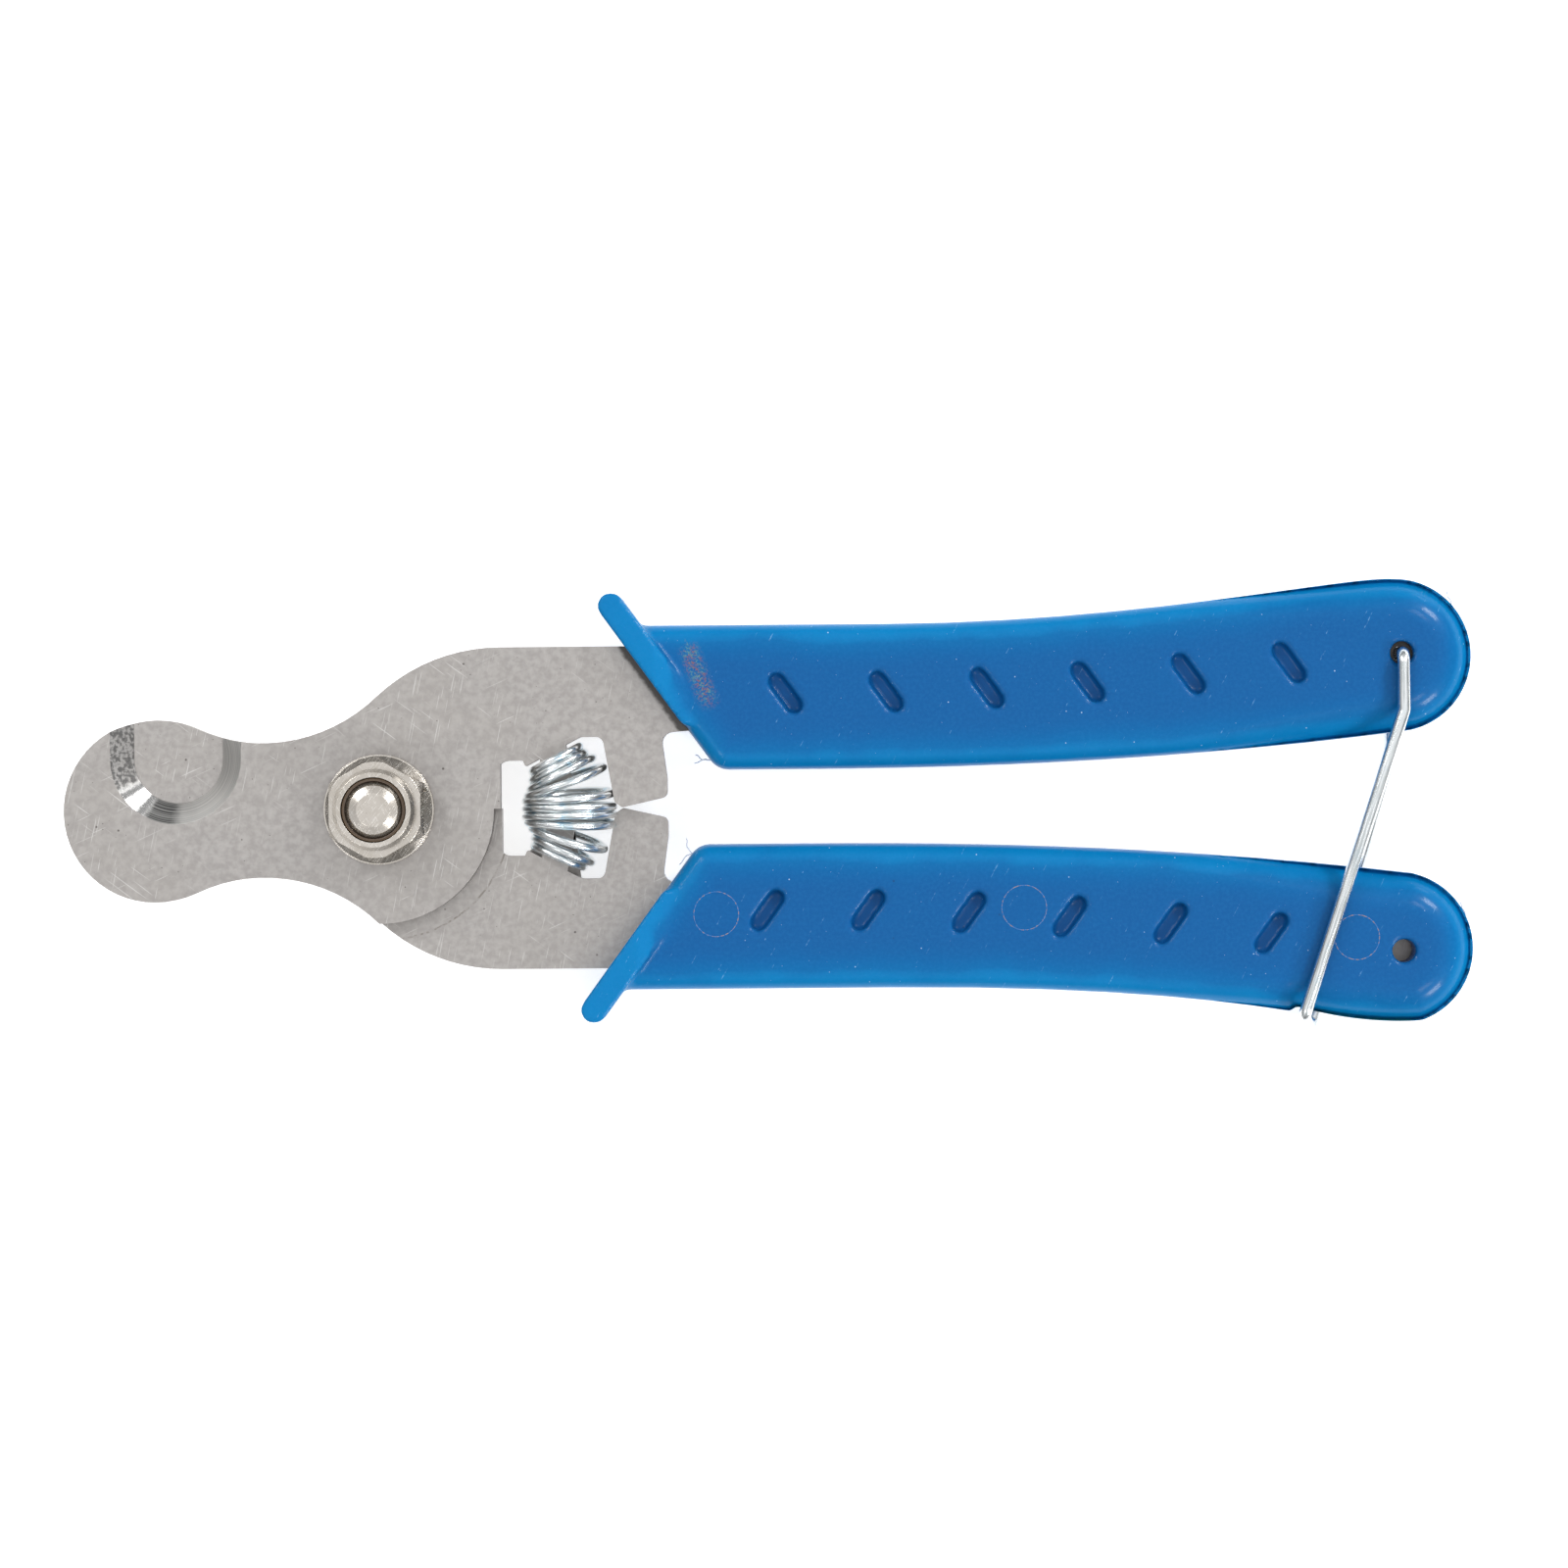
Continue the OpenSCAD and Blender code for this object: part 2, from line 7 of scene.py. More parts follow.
# %% The frame
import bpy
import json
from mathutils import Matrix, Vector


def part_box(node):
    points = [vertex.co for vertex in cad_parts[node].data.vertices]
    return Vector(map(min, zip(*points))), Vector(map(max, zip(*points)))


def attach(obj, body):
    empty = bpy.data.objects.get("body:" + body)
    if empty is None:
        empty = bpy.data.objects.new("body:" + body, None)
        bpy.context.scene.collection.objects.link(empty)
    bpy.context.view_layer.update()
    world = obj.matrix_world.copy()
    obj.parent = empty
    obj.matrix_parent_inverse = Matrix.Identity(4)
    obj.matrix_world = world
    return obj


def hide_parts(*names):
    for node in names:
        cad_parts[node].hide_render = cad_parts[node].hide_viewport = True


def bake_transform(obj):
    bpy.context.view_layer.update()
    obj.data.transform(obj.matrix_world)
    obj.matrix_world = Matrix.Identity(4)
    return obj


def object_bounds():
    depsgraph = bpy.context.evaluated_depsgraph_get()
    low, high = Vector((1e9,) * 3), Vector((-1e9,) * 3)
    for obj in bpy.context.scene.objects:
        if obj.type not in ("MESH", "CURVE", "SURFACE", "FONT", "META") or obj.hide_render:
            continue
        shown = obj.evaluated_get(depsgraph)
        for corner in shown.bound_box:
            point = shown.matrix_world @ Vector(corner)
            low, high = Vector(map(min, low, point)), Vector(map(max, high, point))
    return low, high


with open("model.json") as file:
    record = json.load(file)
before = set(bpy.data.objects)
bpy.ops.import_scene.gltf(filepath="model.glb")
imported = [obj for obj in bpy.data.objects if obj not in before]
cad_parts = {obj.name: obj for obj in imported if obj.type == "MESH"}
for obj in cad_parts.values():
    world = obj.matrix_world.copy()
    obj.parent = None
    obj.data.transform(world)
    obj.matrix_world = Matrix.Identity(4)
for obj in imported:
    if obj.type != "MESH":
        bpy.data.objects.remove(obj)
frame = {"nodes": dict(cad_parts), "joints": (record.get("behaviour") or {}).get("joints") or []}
cad_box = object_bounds()

# %% [markdown]
# ## Places
# Every position comes from the frame: the two joints say where the bolt and the latch hole are,
# and the boxes of the nodes say how high each piece lies. Only sizes that a maker would call out
# on a drawing are written here as numbers.

# %% Places from the frame
import json
import math
import random

import bmesh
import bpy
import numpy as np
from mathutils import Vector
from mathutils.kdtree import KDTree

MM = 0.001
scene = bpy.context.scene
joints = {joint["name"]: joint for joint in frame["joints"]}
pivot = Vector(joints["handle_pivot"]["pos_m"])
latch_hole = Vector(joints["latch_swing"]["pos_m"])
print("pivot", tuple(pivot), "latch hole", tuple(latch_hole))


def linked(name, mesh):
    """A new object that shows a mesh."""
    piece = bpy.data.objects.new(name, mesh)
    scene.collection.objects.link(piece)
    return piece


def smoothstep(low, high, x):
    """0 before low, 1 after high, and a smooth rise between them."""
    t = np.clip((np.asarray(x, float) - low) / (high - low), 0, 1)
    return t * t * (3 - 2 * t)


# %% [markdown]
# ## Shader maths in plain Python
# A finish is a small sum: a base colour, darker here, rougher there. Wrapping each socket in a
# class whose +, -, * and / add the Math nodes lets the recipe be read as that sum, and the
# reflected forms make an expression such as 1 - mask work too.

# %% Signals and finishes
class Signal:
    """One output socket of a material, for use in arithmetic."""

    def __init__(self, finish, socket):
        self.finish = finish
        self.socket = socket

    def math(self, operation, *values):
        return self.finish.add("ShaderNodeMath", {"operation": operation},
                               dict(enumerate(values)))

    def __add__(self, other):
        return self.math("ADD", self, other)

    def __sub__(self, other):
        return self.math("SUBTRACT", self, other)

    def __rsub__(self, other):
        return self.math("SUBTRACT", other, self)

    def __mul__(self, other):
        return self.math("MULTIPLY", self, other)

    def __truediv__(self, other):
        return self.math("DIVIDE", self, other)

    def __rtruediv__(self, other):
        return self.math("DIVIDE", other, self)

    def __abs__(self):
        return self.math("ABSOLUTE", self)

    __radd__ = __add__
    __rmul__ = __mul__

    def at_least(self, other):
        return self.math("MAXIMUM", self, other)

    def step(self, low, high):
        """0 below low and 1 above high, smooth between; low may be the larger."""
        flip = low > high
        ends = {1: min(low, high), 2: max(low, high), 3: 1.0 if flip else 0.0,
                4: 0.0 if flip else 1.0}
        return self.finish.add("ShaderNodeMapRange", {"interpolation_type": "SMOOTHSTEP"},
                               {0: self, **ends})


class Finish:
    """One material: a Principled shader whose constant values sit on its own sockets."""

    def __init__(self, name, **shader):
        self.material = bpy.data.materials.new(name)
        self.material.use_nodes = True
        self.nodes = self.material.node_tree.nodes
        self.links = self.material.node_tree.links
        self.shader = self.nodes["Principled BSDF"]
        for key, value in shader.items():
            self.shader.inputs[key.replace("_", " ").title()].default_value = value

    def add(self, kind, settings=None, sockets=None, out=0):
        """Adds a node: its settings first, then a value or a link for each socket named."""
        node = self.nodes.new(kind)
        for key, value in (settings or {}).items():
            if key == "stops":
                ramp = node.color_ramp
                while len(ramp.elements) < len(value):
                    ramp.elements.new(0.5)
                for element, (position, colour) in zip(ramp.elements, value):
                    element.position = position
                    element.color = (*colour, 1)
            else:
                setattr(node, key, value)
        for key, value in (sockets or {}).items():
            if isinstance(value, Signal):
                self.links.new(value.socket, node.inputs[key])
            elif value is not None:
                node.inputs[key].default_value = value
        return Signal(self, node.outputs[out])

    def place(self, centre=(0, 0, 0), turn=0.0, scale=(1, 1, 1)):
        """Object coordinates, measured from a centre, turned about Z in degrees and scaled."""
        coordinates = self.add("ShaderNodeTexCoord", out="Object")
        moved = self.add("ShaderNodeVectorMath", {"operation": "SUBTRACT"},
                         {0: coordinates, 1: tuple(centre)})
        if turn:
            moved = self.add("ShaderNodeMapping", {"vector_type": "POINT"},
                             {"Vector": moved, "Rotation": (0, 0, math.radians(turn))})
        if scale == (1, 1, 1):
            return moved
        return self.add("ShaderNodeVectorMath", {"operation": "MULTIPLY"}, {0: moved, 1: scale})

    def split(self, vector):
        """The X, Y and Z of a vector."""
        return [self.add("ShaderNodeSeparateXYZ", None, {0: vector}, out=k) for k in range(3)]

    def noise(self, place, size, detail=3.0, roughness=0.55):
        """Cloudy noise from 0 to 1, whose blobs are about size metres wide."""
        return self.add("ShaderNodeTexNoise", None,
                        {"Vector": place, "Scale": 1 / size, "Detail": detail,
                         "Roughness": roughness})

    def dots(self, place, spacing, radius, share=1.0):
        """1 inside small round spots that are scattered about spacing metres apart."""
        near = self.add("ShaderNodeTexVoronoi", None, {"Vector": place, "Scale": 1 / spacing})
        chance = self.add("ShaderNodeTexVoronoi", None,
                          {"Vector": place, "Scale": 1 / spacing}, out="Color")
        pick = self.split(chance)[0]
        size = pick * (radius / spacing)
        return (near - size).step(0.03, -0.03) * pick.step(1 - share - 0.02, 1 - share + 0.02)

    def mix(self, mask, a, b):
        """Colour a where the mask is 0 and b where it is 1."""
        pair = {key: (*value, 1) if isinstance(value, tuple) else value
                for key, value in ((6, a), (7, b))}
        return self.add("ShaderNodeMix", {"data_type": "RGBA"}, {0: mask, **pair}, out=2)

    def bump(self, height, depth, strength=1.0):
        """Surface relief from a height of 0 to 1 that is depth metres deep."""
        return self.add("ShaderNodeBump", None,
                        {"Strength": strength, "Distance": depth, "Height": height})

    def set(self, **links):
        for key, value in links.items():
            self.links.new(value.socket, self.shader.inputs[key.replace("_", " ").title()])
        return self.material


print("shader inputs:", len(Finish("probe").shader.inputs))
bpy.data.materials.remove(bpy.data.materials["probe"])

# %% [markdown]
# ## Stamped steel
# The levers are blanked from 3 mm plate and tumbled, so their faces are an even warm grey with
# fine mottling, dark pits and pale hairline scratches in every direction. Each layer is a mask:
# two sizes of pit, three directions of scratch, and a thin dark ring that is a painted shadow
# along the arc edge of the other plate. The rounded edges are painted darker as shade, and the
# upper plate also has a dark band where it enters its grip, partly dirt and partly a painted
# shadow of the thicker grip.

# %% Steel finish
GRIP_FRONT = 52.4 * MM
GRIP_ANGLE = math.radians(54)
ARC_SHADOW_RADIUS = 18.9 * MM
STEEL_DARK = (0.345, 0.326, 0.314)
STEEL_LIGHT = (0.425, 0.406, 0.39)
STEEL_WARM = (0.385, 0.36, 0.335)


def scratches(finish, centre, angle, spacing=0.3 * MM, length=9 * MM, share=0.69):
    """1 on thin broken lines that run at an angle, in degrees, to the tool's length."""
    place = finish.place(centre, turn=-angle, scale=(1 / length, 1 / spacing, 1))
    lines = finish.add("ShaderNodeTexNoise", None,
                       {"Vector": place, "Scale": 1.0, "Detail": 1.5, "Roughness": 0.5})
    return lines.step(share, share + 0.04)


def stamped_steel(name, dirt_and_shade_line=None, arc_shadow=False):
    """Dull tumbled steel plate with painted shade on its rounded edges, a painted shadow ring of the
    other plate where asked, and a dark band of dirt and painted shadow along a grip's front edge.
    """
    finish = Finish(name, metallic=0.9)
    place = finish.place(pivot)
    x, y, _ = finish.split(place)
    mottle = finish.noise(place, 0.9 * MM, 4)
    cloud = finish.noise(place, 16 * MM, 2)
    pits = finish.dots(place, 3.1 * MM, 0.16 * MM, 0.55).at_least(
        finish.dots(place, 1.2 * MM, 0.08 * MM, 0.6))
    hairs = scratches(finish, pivot, 24).at_least(scratches(finish, pivot, -37)).at_least(
        scratches(finish, pivot + Vector((0.02, 0.03, 0)), 78, 0.22 * MM, 6 * MM, 0.66))
    worn = hairs * cloud.step(0.35, 0.65)
    edge = finish.add("ShaderNodeAttribute", {"attribute_name": "edge"}, out="Fac")
    colour = finish.mix(mottle.step(0.3, 0.7), STEEL_DARK, STEEL_LIGHT)
    colour = finish.mix(cloud.step(0.3, 0.8) * 0.4, colour, STEEL_WARM)
    colour = finish.mix(worn * 0.55, colour, (0.72, 0.71, 0.69))
    # Painted shade: rounded edges that turn away from the vertical are darkened, broken by the
    # mottle.
    colour = finish.mix(edge * mottle.step(0.15, 0.5) * 0.75, colour, (0.11, 0.10, 0.09))
    colour = finish.mix(pits * 0.85, colour, (0.09, 0.08, 0.075))
    # Painted shadow: a thin dark ring, broken by the mottle, along the arc edge of the other plate
    # where it lies over this one.
    if arc_shadow:
        reach = (x * x + y * y).math("SQRT", x * x + y * y)
        ring = abs(reach - ARC_SHADOW_RADIUS + (cloud - 0.5) * (0.9 * MM)).step(0.22 * MM, 0.05 * MM)
        ring = ring * mottle.step(0.42, 0.6) * y.step(0.002, -0.004) * x.step(-0.002, 0.006)
        colour = finish.mix(ring * 0.7, colour, (0.16, 0.14, 0.12))
    if dirt_and_shade_line is not None:
        # Dirt and painted shadow: a dark band just ahead of the grip's front edge, where the thicker
        # grip shades the plate.
        ahead = (x - dirt_and_shade_line) * math.sin(GRIP_ANGLE) + y * math.cos(GRIP_ANGLE)
        dirt_and_shade = (ahead + (mottle - 0.5) * (1.0 * MM)).step(-1.5 * MM, -0.75 * MM)
        colour = finish.mix(dirt_and_shade * 0.88, colour, (0.045, 0.04, 0.036))
    rough = 0.40 + mottle * 0.12 - worn * 0.1 + pits * 0.2
    relief = mottle * 0.5 + finish.noise(place, 0.25 * MM, 2) * 0.3 - pits * 0.9 - hairs * 0.25
    return finish.set(base_color=colour, roughness=rough, normal=finish.bump(relief, 0.012 * MM))


upper_steel = stamped_steel("stamped_steel_upper", dirt_and_shade_line=GRIP_FRONT)
lower_steel = stamped_steel("stamped_steel_lower", arc_shadow=True)
print("steel finishes:", upper_steel.name, lower_steel.name)

# %% [markdown]
# ## Ground cutting edge
# The notch is ground by hand to a bevel, and fine rings follow the grinding wheel. The angle
# round the notch picks bands of painted light: painted shade on the coarse grit of the outer tip,
# a near white painted highlight beside it where the bevel faces the light, a narrow band of
# painted shade, then a plain matt sweep round to the neck.

# %% Bevel finish
NOTCH_BACK = 29.2 * MM
NOTCH_RISE = 7.5 * MM


def ground_bevel(name, side):
    """The bevel of the notch on the upper (side 1) or the lower (side -1) plate."""
    finish = Finish(name, metallic=0.95)
    centre = pivot + Vector((-NOTCH_BACK, side * NOTCH_RISE, 0))
    place = finish.place(centre)
    x, y, _ = finish.split(place)
    grit = finish.noise(place, 0.55 * MM, 4)
    angle = (y * side).math("ARCTAN2", y * side, x) / math.pi + (grit - 0.5) * 0.035
    # Bands of painted light by the angle round the notch: painted shade at the tip, over its real
    # coarse grit, a painted highlight in the glint band where the bevel faces the light, and painted
    # shade in the narrow shade band.
    tip = angle.step(-0.86, -0.80) * -1 + 1
    tip = tip.at_least(angle.step(0.5, 0.6))
    glint_band = angle.step(-0.86, -0.80) * angle.step(-0.64, -0.69)
    shade = angle.step(-0.69, -0.64) * angle.step(-0.46, -0.54)
    reach = (x * x + y * y).math("SQRT", x * x + y * y)
    rings = finish.add("ShaderNodeTexNoise", {"noise_dimensions": "1D"},
                       {"W": reach, "Scale": 1 / (0.22 * MM), "Detail": 2.0})
    colour = finish.mix(rings.step(0.35, 0.65), (0.52, 0.515, 0.50), (0.64, 0.632, 0.61))
    colour = finish.mix(shade, colour, finish.mix(rings.step(0.4, 0.6), (0.10, 0.10, 0.10),
                                                  (0.34, 0.34, 0.33)))
    colour = finish.mix(tip, colour, finish.mix(grit.step(0.4, 0.62), (0.15, 0.148, 0.145),
                                                (0.40, 0.39, 0.38)))
    # Painted highlight: the glint band is near white.
    colour = finish.mix(glint_band, colour, (0.94, 0.935, 0.92))
    rough = 0.42 - glint_band * 0.3 + tip * 0.15
    relief = rings * (1 - glint_band) + grit * (tip * 2 + 0.3)
    return finish.set(base_color=colour, roughness=rough, normal=finish.bump(relief, 0.02 * MM))


upper_bevel = ground_bevel("ground_bevel_upper", 1)
lower_bevel = ground_bevel("ground_bevel_lower", -1)
print("bevel finishes:", upper_bevel.name, lower_bevel.name)

# %% [markdown]
# ## The stamped plates
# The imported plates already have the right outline, so the mesh is a copy of the CAD node: its
# loose triangles are joined, its flat faces become single faces, and a small Bevel rounds every
# sheared edge so that it catches the light. Modelling the outline again would only add errors.

# %% Levers
def merged_copy(node, name, flat=True):
    """A copy of a CAD node with its triangles joined, and its flat faces merged if asked."""
    mesh = frame["nodes"][node].data.copy()
    mesh.name = name
    mesh.materials.clear()
    if "custom_normal" in mesh.attributes:
        mesh.attributes.remove(mesh.attributes["custom_normal"])
    work = bmesh.new()
    work.from_mesh(mesh)
    bmesh.ops.remove_doubles(work, verts=work.verts, dist=0.001 * MM)
    if flat:
        bmesh.ops.dissolve_limit(work, angle_limit=math.radians(0.3),
                                 verts=work.verts, edges=work.edges)
    work.to_mesh(mesh)
    work.free()
    return linked(name, mesh)


def stored(mesh, name, values):
    """A number for each vertex, kept on the mesh under a name."""
    attribute = mesh.attributes.new(name, "FLOAT", "POINT")
    attribute.data.foreach_set("value", np.asarray(values, np.float32))


def baked(piece):
    """The piece's mesh with its modifiers applied, and no modifier left."""
    graph = bpy.context.evaluated_depsgraph_get()
    mesh = bpy.data.meshes.new_from_object(piece.evaluated_get(graph), depsgraph=graph)
    mesh.name = piece.name
    piece.modifiers.clear()
    piece.data = mesh
    return piece


def mark_edges(piece):
    """Keep how far each rounded edge turns away from the vertical, where the finishes paint shade;
    flat faces keep 0.
    """
    mesh = piece.data
    turned = 1 - np.abs(np.array([vertex.normal.z for vertex in mesh.vertices]))
    flat = {k for face in mesh.polygons if abs(face.normal.z) > 0.99 for k in face.vertices}
    turned[list(flat)] = 0
    stored(mesh, "edge", smoothstep(0.08, 0.4, turned))
    return piece


def round_edges(piece, width, segments=2, angle=32):
    """A small Bevel on every edge that is sharper than the angle, in degrees."""
    piece.data.shade_smooth()
    bevel = piece.modifiers.new("sheared_edge", "BEVEL")
    bevel.width = width
    bevel.segments = segments
    bevel.limit_method = "ANGLE"
    bevel.angle_limit = math.radians(angle)
    bevel.harden_normals = True
    return piece


def plate(node, name, steel, bevel_finish):
    """One lever: its flat plate in steel, and the ground faces of its notch in their own finish."""
    piece = merged_copy(node, name)
    piece.data.materials.append(steel)
    piece.data.materials.append(bevel_finish)
    for face in piece.data.polygons:
        if 0.3 < abs(face.normal.z) < 0.97:
            face.material_index = 1
    return mark_edges(baked(round_edges(piece, 0.22 * MM)))


upper_plate = plate("upper_lever", "upper_lever_plate", upper_steel, upper_bevel)
lower_plate = plate("lower_lever", "lower_lever_plate", lower_steel, lower_bevel)
for piece, node, body in ((upper_plate, "upper_lever", "upper_handle"),
                          (lower_plate, "lower_lever", "lower_handle")):
    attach(piece, body)
    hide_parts(node)
    print(piece.name, len(piece.data.polygons), "faces")

# %% [markdown]
# ## Blue grips
# Each grip is soft plastic moulded round the steel. Its rounded edges and raised guard are
# painted lighter and greener as light, and the flat middle darker and almost violet, so the colour
# follows a rim value that is stored on the mesh. The grooves are painted darker as shade. Tiny pale
# specks, dust beside the guard and a faint waviness sit on top of it.

# %% Grip finish
DUST_FROM = Vector((44.6, 22.5, 0)) * MM
DUST_TO = Vector((47.4, 15.0, 0)) * MM


def blue_plastic(name, dusty=False):
    """Moulded blue plastic with painted light: the rim attribute is 0 in the middle and 1 at an edge
    or on the guard, where the colour is painted lighter.
    """
    finish = Finish(name, coat_weight=0.15, coat_roughness=0.13, subsurface_weight=0.08)
    finish.shader.inputs["Specular IOR Level"].default_value = 0.06
    finish.shader.inputs["Subsurface Radius"].default_value = (0.3, 0.6, 1.0)
    finish.shader.inputs["Subsurface Scale"].default_value = 1.2 * MM
    place = finish.place(pivot)
    x, y, _ = finish.split(place)
    rim = finish.add("ShaderNodeAttribute", {"attribute_name": "rim"}, out="Fac")
    groove = finish.add("ShaderNodeAttribute", {"attribute_name": "groove"}, out="Fac")
    wave = finish.noise(place, 11 * MM, 2)
    fine = finish.noise(place, 0.5 * MM, 4)
    specks = finish.dots(place, 1.9 * MM, 0.085 * MM, 0.5).at_least(
        finish.dots(place, 0.8 * MM, 0.035 * MM, 0.3))
    grains = finish.dots(finish.place(pivot + Vector((0.01, 0, 0))), 5.3 * MM, 0.14 * MM, 0.35)
    hairs = scratches(finish, pivot, 62, 0.35 * MM, 3.5 * MM, 0.7) * fine.step(0.4, 0.7)
    # Painted light: the tint runs from a darker violet blue in the middle to a lighter cyan blue on
    # the rim value, the edges and guard that catch the light.
    tint = (rim + (wave - 0.5) * 0.5).step(-0.1, 1.05)
    colour = finish.add("ShaderNodeValToRGB",
                        {"stops": [(0.0, (0.004, 0.084, 0.262)), (0.45, (0.002, 0.096, 0.285)),
                                   (0.8, (0.001, 0.112, 0.31)), (1.0, (0.0005, 0.165, 0.40))]},
                        {0: tint})
    colour = finish.mix(fine.step(0.35, 0.75) * 0.12, colour, (0.02, 0.2, 0.5))
    # Painted shade: the grooves are darkened.
    colour = finish.mix(groove * 0.8, colour, (0.002, 0.055, 0.19))
    colour = finish.mix(hairs * 0.4, colour, (0.22, 0.45, 0.7))
    colour = finish.mix(specks * 0.85, colour, (0.5, 0.68, 0.85))
    colour = finish.mix(grains * 0.8, colour, (0.01, 0.03, 0.08))
    rough = 0.30 + fine * 0.14 + specks * 0.2
    if dusty:
        along = DUST_TO - DUST_FROM
        normal = Vector((along.y, -along.x, 0)).normalized()
        across = (x - DUST_FROM.x) * normal.x + (y - DUST_FROM.y) * normal.y
        down = ((x - DUST_FROM.x) * along.x + (y - DUST_FROM.y) * along.y) / along.length_squared
        patch = abs(across).step(2.0 * MM, 0.2 * MM) * down.step(-0.15, 0.05) * down.step(1.2, 0.8)
        dust = patch * finish.noise(place, 0.32 * MM, 5, 0.8).step(0.46, 0.58)
        knot = (down * down + across * across * (1 / (1.3 * MM)) * (1 / (1.3 * MM))).step(0.06, 0.0)
        dust = dust.at_least(knot * finish.noise(place, 0.4 * MM, 4, 0.7).step(0.45, 0.6))
        grime = finish.mix(finish.noise(place, 0.8 * MM, 2).step(0.4, 0.6),
                           (0.24, 0.085, 0.05), (0.10, 0.22, 0.22))
        colour = finish.mix(dust * 0.95, colour, grime)
        rough = rough + dust * 0.3
    relief = wave * 6 + fine * 0.35 + specks * 0.6
    return finish.set(base_color=colour, roughness=rough, normal=finish.bump(relief, 0.02 * MM))


upper_blue = blue_plastic("blue_grip_upper", dusty=True)
lower_blue = blue_plastic("blue_grip_lower")
print("grip finishes:", upper_blue.name, lower_blue.name)

# %% [markdown]
# ## The moulded grips
# A moulding has no sharp corner anywhere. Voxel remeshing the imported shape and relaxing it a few
# times rounds every edge, groove and rib at once, which a Bevel can't do where so many shapes
# meet. The round end is domed more than the sides, so its vertices are pressed down in code, by
# how far each lies from the flank. The flank leaves out the wall of the latch hole, or the face
# would sink round the hole too.

# %% Grips
DOME_R = 5.6 * MM
SIDE_R = 2.4 * MM
DOME_START = 48 * MM
DOME_FULL = 14 * MM
FLANK = (0.4 * MM, 2.2 * MM)
HOLE_CLEAR = 3 * MM
FACE_START = 3.3 * MM
RIM_W = 7.5 * MM
GROOVE_FROM = (3.6 * MM, 4.4 * MM)
RIB_RISE = 1.4 * MM
VOXEL = 0.4 * MM


def moulded_grip(node, name, side, finish):
    """The upper (side 1) or lower (side -1) grip, soft all round, with its rim value."""
    piece = merged_copy(node, name, flat=False)
    skin = piece.modifiers.new("skin", "REMESH")
    skin.mode = "VOXEL"
    skin.voxel_size = VOXEL
    relax = piece.modifiers.new("relax", "SMOOTH")
    relax.factor = 0.5
    relax.iterations = 5
    baked(piece)
    mesh = piece.data
    points = np.zeros(len(mesh.vertices) * 3)
    mesh.vertices.foreach_get("co", points)
    points = points.reshape(-1, 3)
    low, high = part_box(node)
    half = (high.z - low.z) / 2 - RIB_RISE
    up = points[:, 2] - pivot.z
    hole = np.array([latch_hole.x, side * latch_hole.y])
    flank = points[(side * up < -FLANK[0]) & (side * up > -FLANK[1])
                   & (np.hypot(*(points[:, :2] - hole).T) > HOLE_CLEAR)]
    tree = KDTree(len(flank))
    for k, point in enumerate(flank):
        tree.insert((point[0], point[1], 0), k)
    tree.balance()
    reach = np.array([tree.find((p[0], p[1], 0))[2] for p in points])
    share = smoothstep(high.x - DOME_START, high.x - DOME_FULL, points[:, 0])
    radius = SIDE_R + (DOME_R - SIDE_R) * share
    inward = np.clip(1 - reach / radius, 0, 1)
    ceiling = half - radius * (1 - np.sqrt(1 - inward ** 2))
    outer = (np.abs(up) > FACE_START) & (share > 0)
    points[:, 2] = np.where(outer, pivot.z + np.sign(up) * np.minimum(np.abs(up), ceiling),
                            points[:, 2])
    mesh.vertices.foreach_set("co", points.ravel())
    mesh.update()
    # The rim value marks where light is painted: near the flank and on the raised guard.
    raised = smoothstep(half, half + 1.0 * MM, np.abs(up))
    stored(mesh, "rim", np.maximum(smoothstep(RIM_W, 0.2 * MM, reach), raised))
    # The groove value marks the sunk parts away from the edge, where shade is painted.
    sunk = smoothstep(0.3 * MM, 1.2 * MM, half - np.abs(up))
    stored(mesh, "groove", sunk * smoothstep(*GROOVE_FROM, reach))
    mesh.materials.clear()
    mesh.materials.append(finish)
    mesh.shade_smooth()
    return piece


upper_grip = moulded_grip("upper_grip", "upper_grip_moulding", 1, upper_blue)
lower_grip = moulded_grip("lower_grip", "lower_grip_moulding", -1, lower_blue)
for piece, node, body in ((upper_grip, "upper_grip", "upper_handle"),
                          (lower_grip, "lower_grip", "lower_handle")):
    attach(piece, body)
    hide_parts(node)
    print(piece.name, len(piece.data.polygons), "faces")

# %% [markdown]
# ## Bright metal, nylon and wire
# The bolt and the nut are nickel plated and knocked about: warm, with scratches and dull spots, and
# their edges are painted darker as shade.
# The ring that locks the nut is brown nylon. The wires are zinc plated with a blue tint that
# runs along them in streaks, so their pattern follows values stored along and around the wire.

